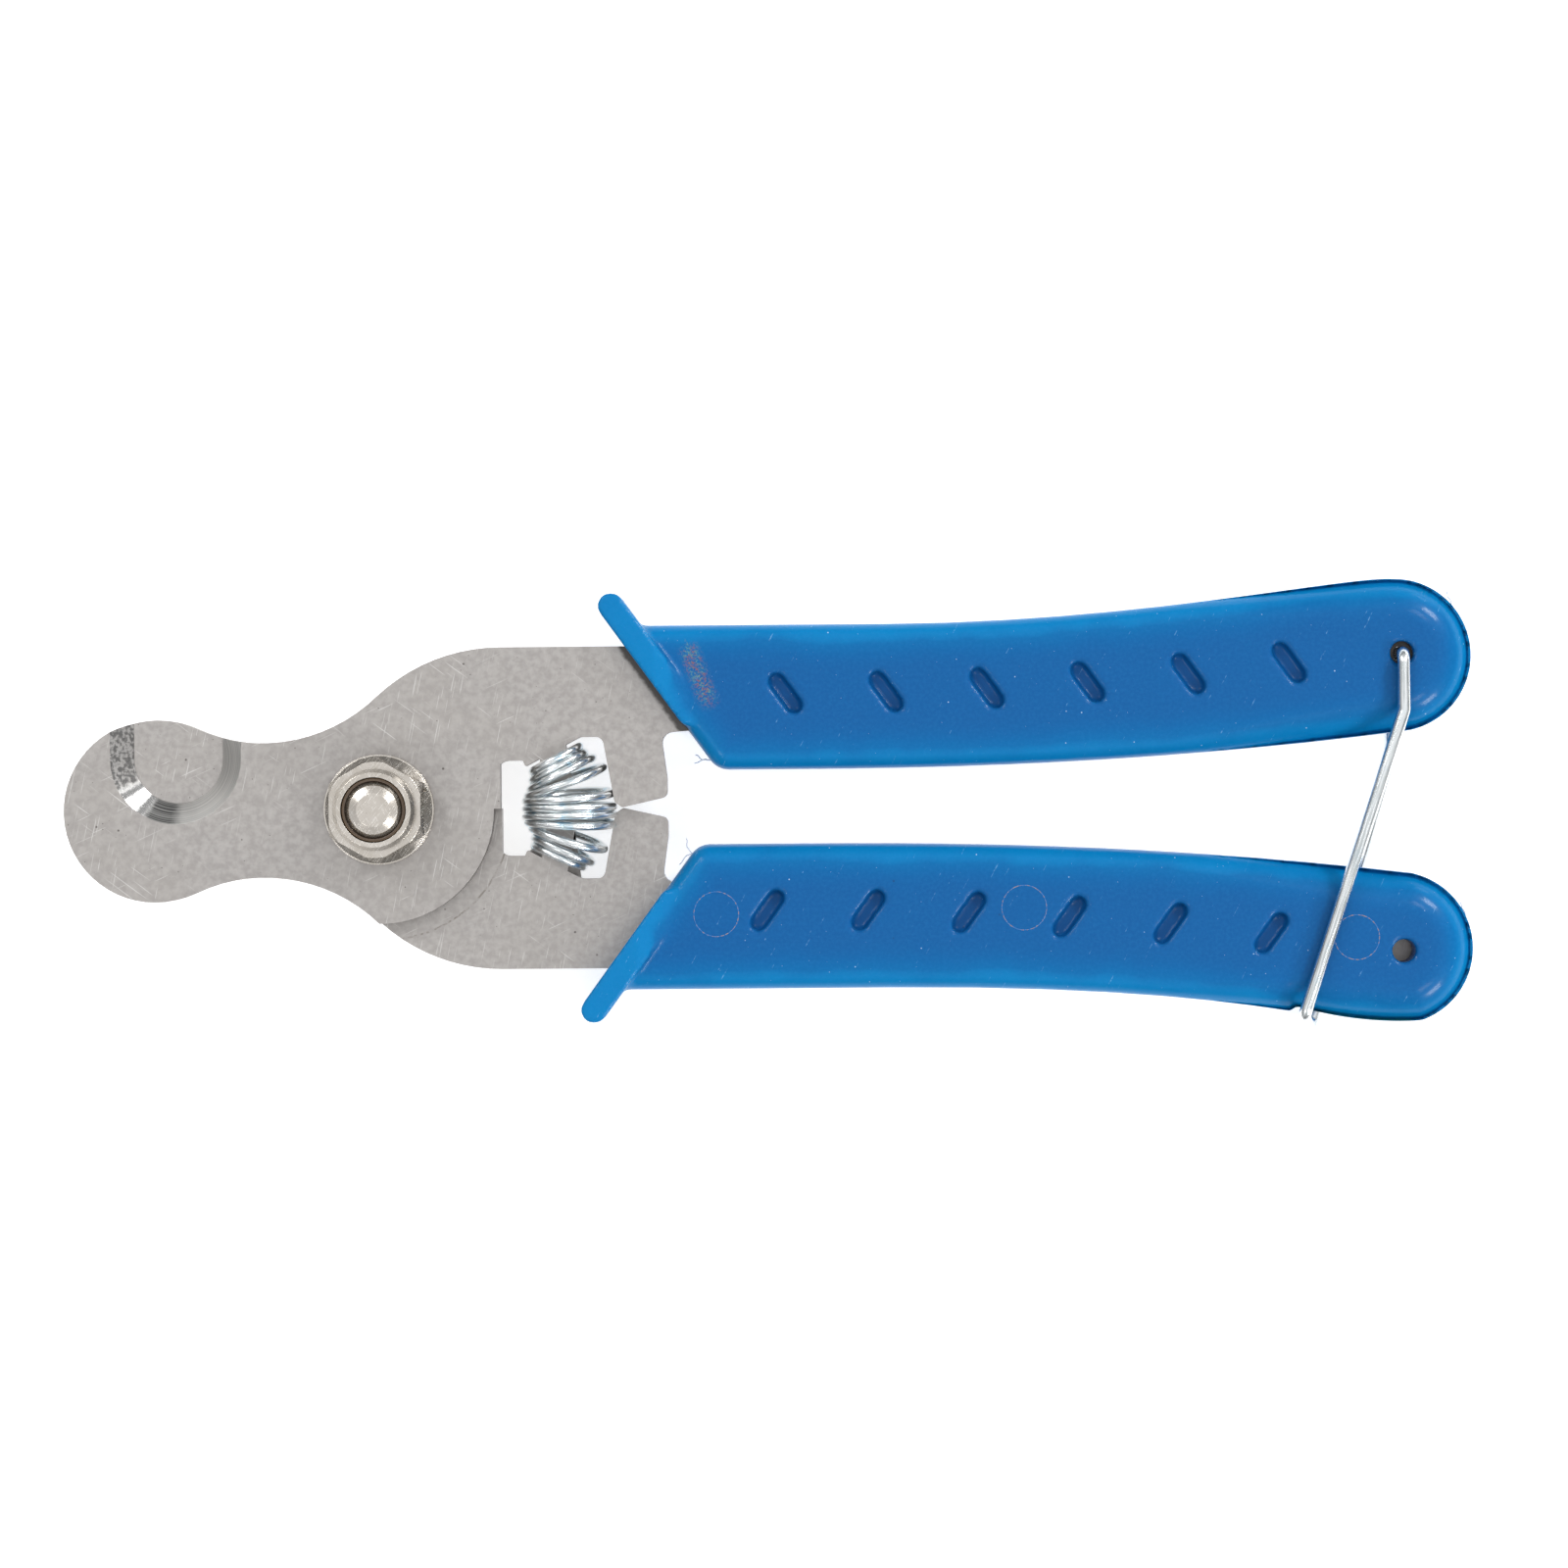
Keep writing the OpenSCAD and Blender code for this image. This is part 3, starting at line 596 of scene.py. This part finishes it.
# %% Small metal finishes
def nickel(name, centre):
    """Worn nickel plating over a machined part that is turned about a centre."""
    finish = Finish(name, metallic=1.0)
    place = finish.place(centre)
    mottle = finish.noise(place, 0.7 * MM, 4)
    cloud = finish.noise(place, 4 * MM, 3)
    hairs = scratches(finish, centre, 52, 0.16 * MM, 2.6 * MM, 0.6).at_least(
        scratches(finish, centre, 118, 0.2 * MM, 1.8 * MM, 0.63))
    spots = finish.dots(place, 0.9 * MM, 0.09 * MM, 0.35)
    colour = finish.mix(cloud.step(0.3, 0.7), (0.57, 0.525, 0.465), (0.68, 0.635, 0.58))
    colour = finish.mix(hairs * 0.3, colour, (0.92, 0.90, 0.87))
    edge = finish.add("ShaderNodeAttribute", {"attribute_name": "edge"}, out="Fac")
    # Painted shade: edges and sides that turn away from the vertical are darkened.
    colour = finish.mix(edge * 0.75, colour, (0.16, 0.14, 0.115))
    colour = finish.mix(spots * 0.6, colour, (0.25, 0.22, 0.19))
    rough = 0.16 + mottle * 0.14 + hairs * 0.1 + spots * 0.2
    relief = mottle * 0.5 + finish.noise(place, 0.2 * MM, 2) * 0.25 - hairs * 0.3 - spots * 0.5
    return finish.set(base_color=colour, roughness=rough, normal=finish.bump(relief, 0.008 * MM))


def brown_nylon(name):
    """Dark brown nylon with the turned rings of a washer."""
    finish = Finish(name, coat_weight=0.3, coat_roughness=0.25)
    place = finish.place(pivot)
    x, y, _ = finish.split(place)
    reach = (x * x + y * y).math("SQRT", x * x + y * y)
    rings = finish.add("ShaderNodeTexNoise", {"noise_dimensions": "1D"},
                       {"W": reach, "Scale": 1 / (0.18 * MM), "Detail": 1.0})
    fine = finish.noise(place, 0.5 * MM, 3)
    colour = finish.mix(rings.step(0.3, 0.7), (0.02, 0.011, 0.006), (0.11, 0.066, 0.032))
    return finish.set(base_color=colour, roughness=0.34 + fine * 0.2,
                      normal=finish.bump(rings + fine * 0.3, 0.03 * MM))


def zinc_wire(name, blue):
    """Zinc plated spring wire with streaks along it, tinted blue in places."""
    finish = Finish(name, metallic=1.0)
    along = finish.add("ShaderNodeAttribute", {"attribute_name": "along"}, out="Fac")
    around = finish.add("ShaderNodeAttribute", {"attribute_name": "around"}, out="Fac")
    turn = around * (2 * math.pi)
    lay = finish.add("ShaderNodeCombineXYZ", None,
                     {0: turn.math("COSINE", turn) * 2.2, 1: turn.math("SINE", turn) * 2.2,
                      2: along * (1 / (9 * MM))})
    streak = finish.add("ShaderNodeTexNoise", None, {"Vector": lay, "Scale": 2.0, "Detail": 4.0})
    place = finish.place(pivot)
    cloud = finish.noise(place, 3.2 * MM, 2)
    fine = finish.noise(place, 0.3 * MM, 3)
    spots = finish.dots(place, 1.6 * MM, 0.12 * MM, 0.4)
    colour = finish.mix(streak.step(0.38, 0.62), (0.60, 0.64, 0.65), (0.84, 0.87, 0.88))
    colour = finish.mix(cloud.step(0.52, 0.72) * blue, colour, (0.38, 0.60, 0.74))
    colour = finish.mix(spots * 0.6, colour, (0.18, 0.19, 0.2))
    rough = 0.16 + streak * 0.16 + spots * 0.2
    relief = streak * 1.2 + fine * 0.3 - spots * 0.6
    return finish.set(base_color=colour, roughness=rough, normal=finish.bump(relief, 0.02 * MM))


bolt_nickel = nickel("nickel_bolt", pivot)
nut_nickel = nickel("nickel_nut", pivot + Vector((0.03, 0.02, 0)))
nylon = brown_nylon("brown_nylon_ring")
spring_zinc = zinc_wire("zinc_spring", 0.75)
latch_zinc = zinc_wire("zinc_latch", 0.2)
print("small finishes:", bolt_nickel.name, nut_nickel.name, nylon.name, spring_zinc.name)

# %% [markdown]
# ## Bolt, nut and locking ring
# These are turned and forged parts whose CAD shapes are right, so they are joined copies with
# fine rounded edges. The nut's edges are rounder than the bolt's, as forging leaves them.

# %% Fasteners
def chamfered(piece, width):
    """The piece with a flat chamfer round its topmost face."""
    work = bmesh.new()
    work.from_mesh(piece.data)
    top = max(vertex.co.z for vertex in work.verts) - 0.001 * MM
    rim = [edge for edge in work.edges if all(vertex.co.z > top for vertex in edge.verts)]
    bmesh.ops.bevel(work, geom=rim, offset=width, segments=1, affect="EDGES")
    work.to_mesh(piece.data)
    work.free()
    return piece


def fastener(node, name, finish, width, chamfer=0):
    piece = merged_copy(node, name)
    if chamfer:
        chamfered(piece, chamfer)
    piece = mark_edges(baked(round_edges(piece, width, 3, 20)))
    piece.data.materials.append(finish)
    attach(piece, "upper_handle")
    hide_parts(node)
    print(name, len(piece.data.polygons), "faces")
    return piece


fastener("pivot_bolt", "flange_bolt", bolt_nickel, 0.1 * MM, 0.95 * MM)
fastener("flange_nut", "flange_lock_nut", nut_nickel, 0.14 * MM)
fastener("lock_ring", "nylon_locking_ring", nylon, 0.3 * MM)

# %% [markdown]
# ## A node tree that sweeps a wire
# The return spring, the latch and the thin fin that the mould leaves are all one section swept
# along a path. One Geometry Nodes tree does this for all of them: it takes a line of vertices,
# makes it a curve, keeps the length along it and the turn around it as attributes, and sweeps an
# ellipse whose two sizes are inputs.

# %% Wire tree
def new_tree(name, inputs):
    """An empty geometry tree with a Geometry input and output and the named inputs."""
    tree = bpy.data.node_groups.new(name, "GeometryNodeTree")
    tree.interface.new_socket("Geometry", in_out="INPUT", socket_type="NodeSocketGeometry")
    for label, (kind, value) in inputs.items():
        socket = tree.interface.new_socket(label, in_out="INPUT", socket_type=kind)
        if value is not None:
            socket.default_value = value
    tree.interface.new_socket("Geometry", in_out="OUTPUT", socket_type="NodeSocketGeometry")
    return tree, tree.nodes.new("NodeGroupInput"), tree.nodes.new("NodeGroupOutput")


def join_up(tree, kind, sockets, settings=None):
    """A new node whose inputs are linked to sockets or set to values."""
    node = tree.nodes.new(kind)
    for key, value in (settings or {}).items():
        setattr(node, key, value)
    for key, value in sockets.items():
        if isinstance(value, bpy.types.NodeSocket):
            tree.links.new(value, node.inputs[key])
        else:
            node.inputs[key].default_value = value
    return node


def finish_tree(tree, geometry, material, result):
    """The last two nodes of every tree: real geometry, in one material."""
    real = join_up(tree, "GeometryNodeRealizeInstances", {0: geometry})
    done = join_up(tree, "GeometryNodeSetMaterial", {0: real.outputs[0], "Material": material})
    tree.links.new(done.outputs[0], result.inputs[0])


def wire_tree():
    tree, given, result = new_tree("swept_wire", {
        "Width": ("NodeSocketFloat", 1 * MM), "Height": ("NodeSocketFloat", 1 * MM),
        "Sides": ("NodeSocketInt", 16), "Material": ("NodeSocketMaterial", None)})
    path = join_up(tree, "GeometryNodeMeshToCurve", {0: given.outputs["Geometry"]})
    measure = tree.nodes.new("GeometryNodeSplineParameter")
    path = join_up(tree, "GeometryNodeStoreNamedAttribute",
                   {0: path.outputs[0], "Name": "along", "Value": measure.outputs["Length"]})
    circle = join_up(tree, "GeometryNodeCurvePrimitiveCircle",
                     {"Resolution": given.outputs["Sides"], "Radius": 0.5})
    section = join_up(tree, "GeometryNodeStoreNamedAttribute",
                      {0: circle.outputs[0], "Name": "around",
                       "Value": measure.outputs["Factor"]})
    size = join_up(tree, "ShaderNodeCombineXYZ",
                   {0: given.outputs["Width"], 1: given.outputs["Height"], 2: 1.0})
    section = join_up(tree, "GeometryNodeTransform",
                      {0: section.outputs[0], "Scale": size.outputs[0]})
    swept = join_up(tree, "GeometryNodeCurveToMesh",
                    {0: path.outputs[0], 1: section.outputs[0], "Fill Caps": True})
    smooth = join_up(tree, "GeometryNodeSetShadeSmooth", {0: swept.outputs[0]})
    finish_tree(tree, smooth.outputs[0], given.outputs["Material"], result)
    return tree


def grown(name, points, edges, tree, **sizes):
    """Runs a tree on a line of points and keeps what it makes as a plain mesh."""
    line = bpy.data.meshes.new(name + "_line")
    line.from_pydata([tuple(p) for p in points], edges, [])
    source = linked(name + "_line", line)
    modifier = source.modifiers.new(tree.name, "NODES")
    modifier.node_group = tree
    for item in tree.interface.items_tree:
        if item.item_type == "SOCKET" and item.in_out == "INPUT" and item.name in sizes:
            modifier[item.identifier] = sizes[item.name]
    graph = bpy.context.evaluated_depsgraph_get()
    mesh = bpy.data.meshes.new_from_object(source.evaluated_get(graph), depsgraph=graph)
    mesh.name = name
    bpy.data.objects.remove(source)
    work = bmesh.new()
    work.from_mesh(mesh)
    bmesh.ops.recalc_face_normals(work, faces=work.faces)
    work.to_mesh(mesh)
    work.free()
    return linked(name, mesh)


def chain(count, closed=False):
    """The edges that join points in a row, and the last to the first if it is closed."""
    return [(k, k + 1) for k in range(count - 1)] + ([(count - 1, 0)] if closed else [])


wire = wire_tree()
print("wire tree has", len(wire.nodes), "nodes")

# %% [markdown]
# ## The return spring
# The spring is a coil, squeezed between the two levers. Being bowed, it closes up on the side
# of the bolt and opens like a fan on the other, and it bends most in two places, which leaves
# three bunches of turns. So the path isn't a plain helix: a tilt that falls in two steps turns
# each coil, and the spacing grows where the tilt changes.

# %% Return spring
SPRING_WIRE = 1.18 * MM
SPRING_TURNS = 10.6
SPRING_END_D = 8.8 * MM
SPRING_MID_D = 13.8 * MM
SEAT = Vector((25.2, 7.3, 1.45)) * MM
STEPS_PER_TURN = 40


def spring_points():
    """Points along the wire, from the upper seat to the lower one."""
    turns = np.linspace(0, SPRING_TURNS, int(SPRING_TURNS * STEPS_PER_TURN) + 1)
    share = turns / SPRING_TURNS
    first = smoothstep(2.4, 4.6, turns)
    second = smoothstep(6.6, 8.9, turns)
    tilt = np.radians(28 - 25 * first - 26 * second)
    radius = (SPRING_END_D + (SPRING_MID_D - SPRING_END_D)
              * smoothstep(0, 0.42, share) * smoothstep(1, 0.62, share) - SPRING_WIRE) / 2
    pitch = 1.0 + radius / SPRING_WIRE * np.abs(np.gradient(tilt, turns)) * 0.75
    heading = np.stack([np.sin(tilt), -np.cos(tilt)], 1)
    walk = heading * pitch[:, None]
    middle = np.concatenate([[[0, 0]], np.cumsum((walk[1:] + walk[:-1]) / 2, axis=0)])
    start, end = np.array([SEAT.x, SEAT.y]), np.array([SEAT.x, -SEAT.y])
    run = middle[-1]
    size = np.linalg.norm(end - start) / np.linalg.norm(run)
    turn = math.atan2(end[1] - start[1], end[0] - start[0]) - math.atan2(run[1], run[0])
    spin = np.array([[math.cos(turn), -math.sin(turn)], [math.sin(turn), math.cos(turn)]])
    axis = start + size * middle @ spin.T
    along = heading @ spin.T
    side = np.stack([-along[:, 1], along[:, 0]], 1)
    angle = turns * 2 * math.pi
    flat = axis + side * (radius * np.cos(angle))[:, None]
    lift = SEAT.z * (1 - 2 * share) + radius * np.sin(angle)
    return [pivot + Vector((f[0], f[1], l)) for f, l in zip(flat, lift)]


coil = spring_points()
spring = grown("bowed_return_spring", coil, chain(len(coil)), wire,
               Width=SPRING_WIRE, Height=SPRING_WIRE, Sides=14, Material=spring_zinc)
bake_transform(spring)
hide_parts("return_spring")
print("spring:", len(coil), "points,", len(spring.data.polygons), "faces")

# %% [markdown]
# ## The wire latch
# One length of wire is bent to a long loop whose two ends turn in a hole in the upper lever. Its
# bends are formed round a small peg, so each corner of the path is replaced by a short arc. Each
# leg is three sizes: how far its foot lies back, its reach and how far down its knee is.

# %% Latch
LATCH_WIRE = 1.84 * MM
UPPER_LEG = (14.6 * MM, 53.8 * MM, 8.2 * MM)
LOWER_LEG = (12.2 * MM, 55.6 * MM, 14.7 * MM)
BEND_R = 1.5 * MM


def with_bends(corners, radius, steps=7):
    """The path through the corners, with an arc of the given radius at each inner one."""
    path = [corners[0]]
    for before, corner, after in zip(corners, corners[1:], corners[2:]):
        back, ahead = (before - corner).normalized(), (after - corner).normalized()
        half = back.angle(ahead) / 2
        reach = min(radius / math.tan(half), 0.45 * (before - corner).length,
                    0.45 * (after - corner).length)
        bend = reach * math.tan(half)
        centre = corner + (back + ahead).normalized() * (bend / math.sin(half))
        start = (corner + back * reach - centre).normalized()
        end = (corner + ahead * reach - centre).normalized()
        path += [centre + bend * start.slerp(end, k / steps) for k in range(steps + 1)]
    return path + [corners[-1]]


def latch_corners():
    """The bends of the latch, from the end in the hole round to the other end."""
    low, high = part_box("latch_wire_bail")
    lift = (high.z - low.z) / 2 - LATCH_WIRE / 2
    foot, knee = [], []
    for (back, reach, drop), height in ((UPPER_LEG, lift), (LOWER_LEG, -lift)):
        fall = math.sqrt(reach ** 2 - back ** 2)
        foot.append(latch_hole + Vector((-back, -fall, height)))
        knee.append(latch_hole + Vector((0, -drop, height)))
    up = Vector((0, 0, lift))
    tip = Vector((0, 0, 0.2 * MM))
    middle = Vector((0, 0, 1.55 * MM))
    return [latch_hole + middle + tip, latch_hole + up, knee[0], foot[0],
            foot[1], knee[1], latch_hole - up, latch_hole + middle - tip]


bent = with_bends(latch_corners(), BEND_R)
latch = grown("wire_latch", bent, chain(len(bent)), wire,
              Width=LATCH_WIRE, Height=LATCH_WIRE, Sides=24, Material=latch_zinc)
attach(latch, "latch")
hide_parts("latch_wire_bail")
print("latch:", len(bent), "points")

# %% [markdown]
# ## Mould marks
# The two halves of the mould meet at mid thickness and leave a thin pale fin all round each
# grip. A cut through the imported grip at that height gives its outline, and the wire tree sweeps
# a flat section along it. Round witness marks show where the ejector pins pushed: a second tree
# puts a fine ring on each point.

# %% Flash fin and ejector rings
def pale_flash(name):
    """The milky edge of thin blue plastic."""
    finish = Finish(name, transmission_weight=0.0)
    place = finish.place(pivot)
    patch = finish.noise(place, 2.5 * MM, 3)
    colour = finish.mix(patch.step(0.35, 0.65), (0.30, 0.38, 0.52), (0.55, 0.58, 0.66))
    return finish.set(base_color=colour, roughness=0.35 + patch * 0.2,
                      normal=finish.bump(patch, 0.03 * MM))


def rust_rim(name):
    """Rusty dust caught in a ring, broken where it has worn away."""
    finish = Finish(name)
    place = finish.place(pivot)
    patch = finish.noise(place, 0.5 * MM, 4, 0.7)
    colour = finish.mix(patch.step(0.46, 0.60), (0.02, 0.14, 0.40), (0.30, 0.20, 0.17))
    return finish.set(base_color=colour, roughness=0.5 + patch * 0.2,
                      normal=finish.bump(patch, 0.02 * MM))


FIN_W = 0.75 * MM
FIN_T = 0.14 * MM
RING_D = 6.4 * MM
RING_T = 0.13 * MM
flash_finish = pale_flash("pale_flash")
rim_finish = rust_rim("rust_rim")


def parting_outline(node):
    """The grip's outline at the height of the bolt joint's middle, as an ordered loop."""
    work = bmesh.new()
    work.from_mesh(frame["nodes"][node].data)
    bmesh.ops.remove_doubles(work, verts=work.verts, dist=0.001 * MM)
    cut = bmesh.ops.bisect_plane(work, geom=work.verts[:] + work.edges[:] + work.faces[:],
                                 plane_co=pivot, plane_no=(0, 0, 1),
                                 clear_inner=True, clear_outer=True)["geom_cut"]
    edges = {e for e in cut if isinstance(e, bmesh.types.BMEdge)}
    loops = []
    while edges:
        edge = edges.pop()
        loop = [edge.verts[0], edge.verts[1]]
        while True:
            found = [e for e in loop[-1].link_edges if e in edges]
            if not found:
                break
            edges.discard(found[0])
            loop.append(found[0].other_vert(loop[-1]))
        loops.append([v.co.copy() for v in loop[:-1]])
    work.free()
    return max(loops, key=lambda loop: max(p.x for p in loop) - min(p.x for p in loop))


def ring_tree():
    tree, given, result = new_tree("rings_on_points", {
        "Ring diameter": ("NodeSocketFloat", RING_D), "Thickness": ("NodeSocketFloat", RING_T),
        "Material": ("NodeSocketMaterial", None)})
    half = join_up(tree, "ShaderNodeMath", {0: given.outputs["Ring diameter"], 1: 0.5},
                   {"operation": "MULTIPLY"})
    thin = join_up(tree, "ShaderNodeMath", {0: given.outputs["Thickness"], 1: 0.5},
                   {"operation": "MULTIPLY"})
    ring = join_up(tree, "GeometryNodeCurvePrimitiveCircle",
                   {"Resolution": 72, "Radius": half.outputs[0]})
    section = join_up(tree, "GeometryNodeCurvePrimitiveCircle",
                      {"Resolution": 8, "Radius": thin.outputs[0]})
    swept = join_up(tree, "GeometryNodeCurveToMesh", {0: ring.outputs[0], 1: section.outputs[0]})
    smooth = join_up(tree, "GeometryNodeSetShadeSmooth", {0: swept.outputs[0]})
    placed = join_up(tree, "GeometryNodeInstanceOnPoints",
                     {"Points": given.outputs["Geometry"], "Instance": smooth.outputs[0]})
    finish_tree(tree, placed.outputs[0], given.outputs["Material"], result)
    return tree


def thread(root, heading, seed):
    """A short curled thread of torn flash: points that wander out from a root."""
    draw = random.Random(seed)
    point, angle, path = root.copy(), heading, [root.copy()]
    for _ in range(THREAD_STEPS):
        angle += draw.uniform(-38, 38)
        step = Vector((math.cos(math.radians(angle)), math.sin(math.radians(angle)),
                       draw.uniform(-0.4, 0.4)))
        point = point + step * THREAD_STEP
        path.append(point.copy())
    return path


rings = ring_tree()
THREAD_STEP = 0.42 * MM
THREAD_STEPS = 6
THREAD_D = 0.16 * MM
THREAD_ROOTS = {"upper_grip": ((46.5, 8.3, 200), (46.3, 8.5, 160), (154.6, 28.0, 60)),
                "lower_grip": ((43.8, -8.0, 150), (43.9, -7.9, 190), (156.3, -17.0, 60))}
EJECTORS = [(48.2, 15.3), (92.2, 14.7), (139.7, 19.3)]
for node, name, side, body in (("upper_grip", "upper_grip", 1, "upper_handle"),
                               ("lower_grip", "lower_grip", -1, "lower_handle")):
    outline = parting_outline(node)
    fin = grown(name + "_flash", outline, chain(len(outline), closed=True), wire,
                Width=FIN_T, Height=FIN_W, Sides=10, Material=flash_finish)
    for vertex in fin.data.vertices:
        vertex.co = [min(max(c, l + 1e-6), h - 1e-6)
                     for c, l, h in zip(vertex.co, cad_box[0], cad_box[1])]
    low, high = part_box(node)
    face = pivot.z - side * ((high.z - low.z) / 2 - RIB_RISE - 0.02 * MM)
    spots = [pivot + Vector((x * MM, side * y * MM, face - pivot.z)) for x, y in EJECTORS]
    marks = grown(name + "_ejector_rings", spots, [], rings, Material=rim_finish)
    points, edges = [], []
    for k, (x, y, heading) in enumerate(THREAD_ROOTS[node]):
        target = pivot + Vector((x, y, 0)) * MM
        root = min(outline, key=lambda p: (p - target).length)
        path = thread(root, heading, 7 * k + 3)
        edges += [(len(points) + a, len(points) + b) for a, b in chain(len(path))]
        points += [[min(max(c, l + THREAD_D), h - THREAD_D)
                    for c, l, h in zip(p, cad_box[0], cad_box[1])] for p in path]
    torn = grown(name + "_torn_flash", points, edges, wire,
                 Width=THREAD_D, Height=THREAD_D, Sides=6, Material=flash_finish)
    for piece in (fin, marks, torn):
        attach(piece, body)
    print(name, "flash has", len(outline), "corners,", len(fin.data.polygons), "faces")

# %% [markdown]
# ## Stage, light and camera
# The tool lies flat on a pale light table inside a white tent, and the camera looks straight down
# from 600 mm, which keeps the levers free of perspective. The table glows a little, so the holes
# through the plates stay white. The tent is dim near the floor, so that bright wire has something
# dark to reflect, and four keys stand off the axis so that the flat plates stay grey.

# %% Stage and lights
CAMERA_HEIGHT = 600 * MM
CAMERA_AT = (2.33 * MM, 3.22 * MM)
CAMERA_ROLL = -0.45
LENS = 95.58
FLOOR_GLOW = 0.65
KEY_OUT = 0.6
KEY_POWER = 1.6


def studio_floor():
    mesh = bpy.data.meshes.new("studio_floor")
    side = 3.0
    mesh.from_pydata([(-side, -side, 0), (side, -side, 0), (side, side, 0), (-side, side, 0)],
                     [], [(0, 1, 2, 3)])
    floor = linked("studio_floor", mesh)
    finish = Finish("pale_floor", roughness=0.9)
    finish.shader.inputs["Base Color"].default_value = (0.8, 0.8, 0.8, 1)
    finish.shader.inputs["Emission Color"].default_value = (1, 1, 1, 1)
    finish.shader.inputs["Emission Strength"].default_value = FLOOR_GLOW
    mesh.materials.append(finish.material)
    return floor


def soft_box(name, at, size, power, tint=(1, 1, 1)):
    """A square area light that faces the middle of the tool."""
    light = bpy.data.lights.new(name, "AREA")
    light.shape = "RECTANGLE"
    light.size, light.size_y = size
    light.energy = power
    light.color = tint
    lamp = bpy.data.objects.new(name, light)
    scene.collection.objects.link(lamp)
    lamp.location = at
    lamp.rotation_euler = (-Vector(at)).to_track_quat("-Z", "Y").to_euler()


def tent(name, horizon, top):
    """A white light tent as the world: dim near the floor and bright overhead."""
    world = bpy.data.worlds.new(name)
    world.use_nodes = True
    nodes, links = world.node_tree.nodes, world.node_tree.links
    view = nodes.new("ShaderNodeTexCoord")
    parts = nodes.new("ShaderNodeSeparateXYZ")
    rise = nodes.new("ShaderNodeMapRange")
    for key, value in (("From Min", 0.25), ("From Max", 0.85), ("To Min", horizon), ("To Max", top)):
        rise.inputs[key].default_value = value
    links.new(view.outputs["Generated"], parts.inputs[0])
    links.new(parts.outputs["Z"], rise.inputs["Value"])
    links.new(rise.outputs["Result"], nodes["Background"].inputs["Strength"])
    nodes["Background"].inputs["Color"].default_value = (0.985, 0.99, 1.0, 1)
    return world


studio_floor()
for k, (side_x, side_y) in enumerate(((-1, -1), (-1, 1), (1, -1), (1, 1))):
    soft_box(f"key_{k}", (side_x * KEY_OUT, side_y * KEY_OUT, 1.2), (0.25, 0.25), KEY_POWER)
soft_box("right_back", (0.9, 0.8, 0.75), (0.3, 0.3), 9.0)
soft_box("right_front", (0.9, -0.8, 0.7), (0.3, 0.3), 7.0)
soft_box("left_back", (-0.55, 0.5, 0.55), (0.25, 0.25), 1.6)
soft_box("bevel_glint", (0.7, 1.0, 0.12), (0.3, 0.14), 0.5)
world = tent("light_tent", 0.25, 0.92)
scene.world = world
scene.view_settings.view_transform = "Standard"

lens = bpy.data.cameras.new("camera")
lens.lens = LENS
lens.sensor_width = 36
camera = bpy.data.objects.new("camera", lens)
scene.collection.objects.link(camera)
camera.location = (CAMERA_AT[0], CAMERA_AT[1], pivot.z + CAMERA_HEIGHT)
camera.rotation_euler = (0, 0, math.radians(CAMERA_ROLL))
scene.camera = camera
print("camera at", tuple(camera.location))
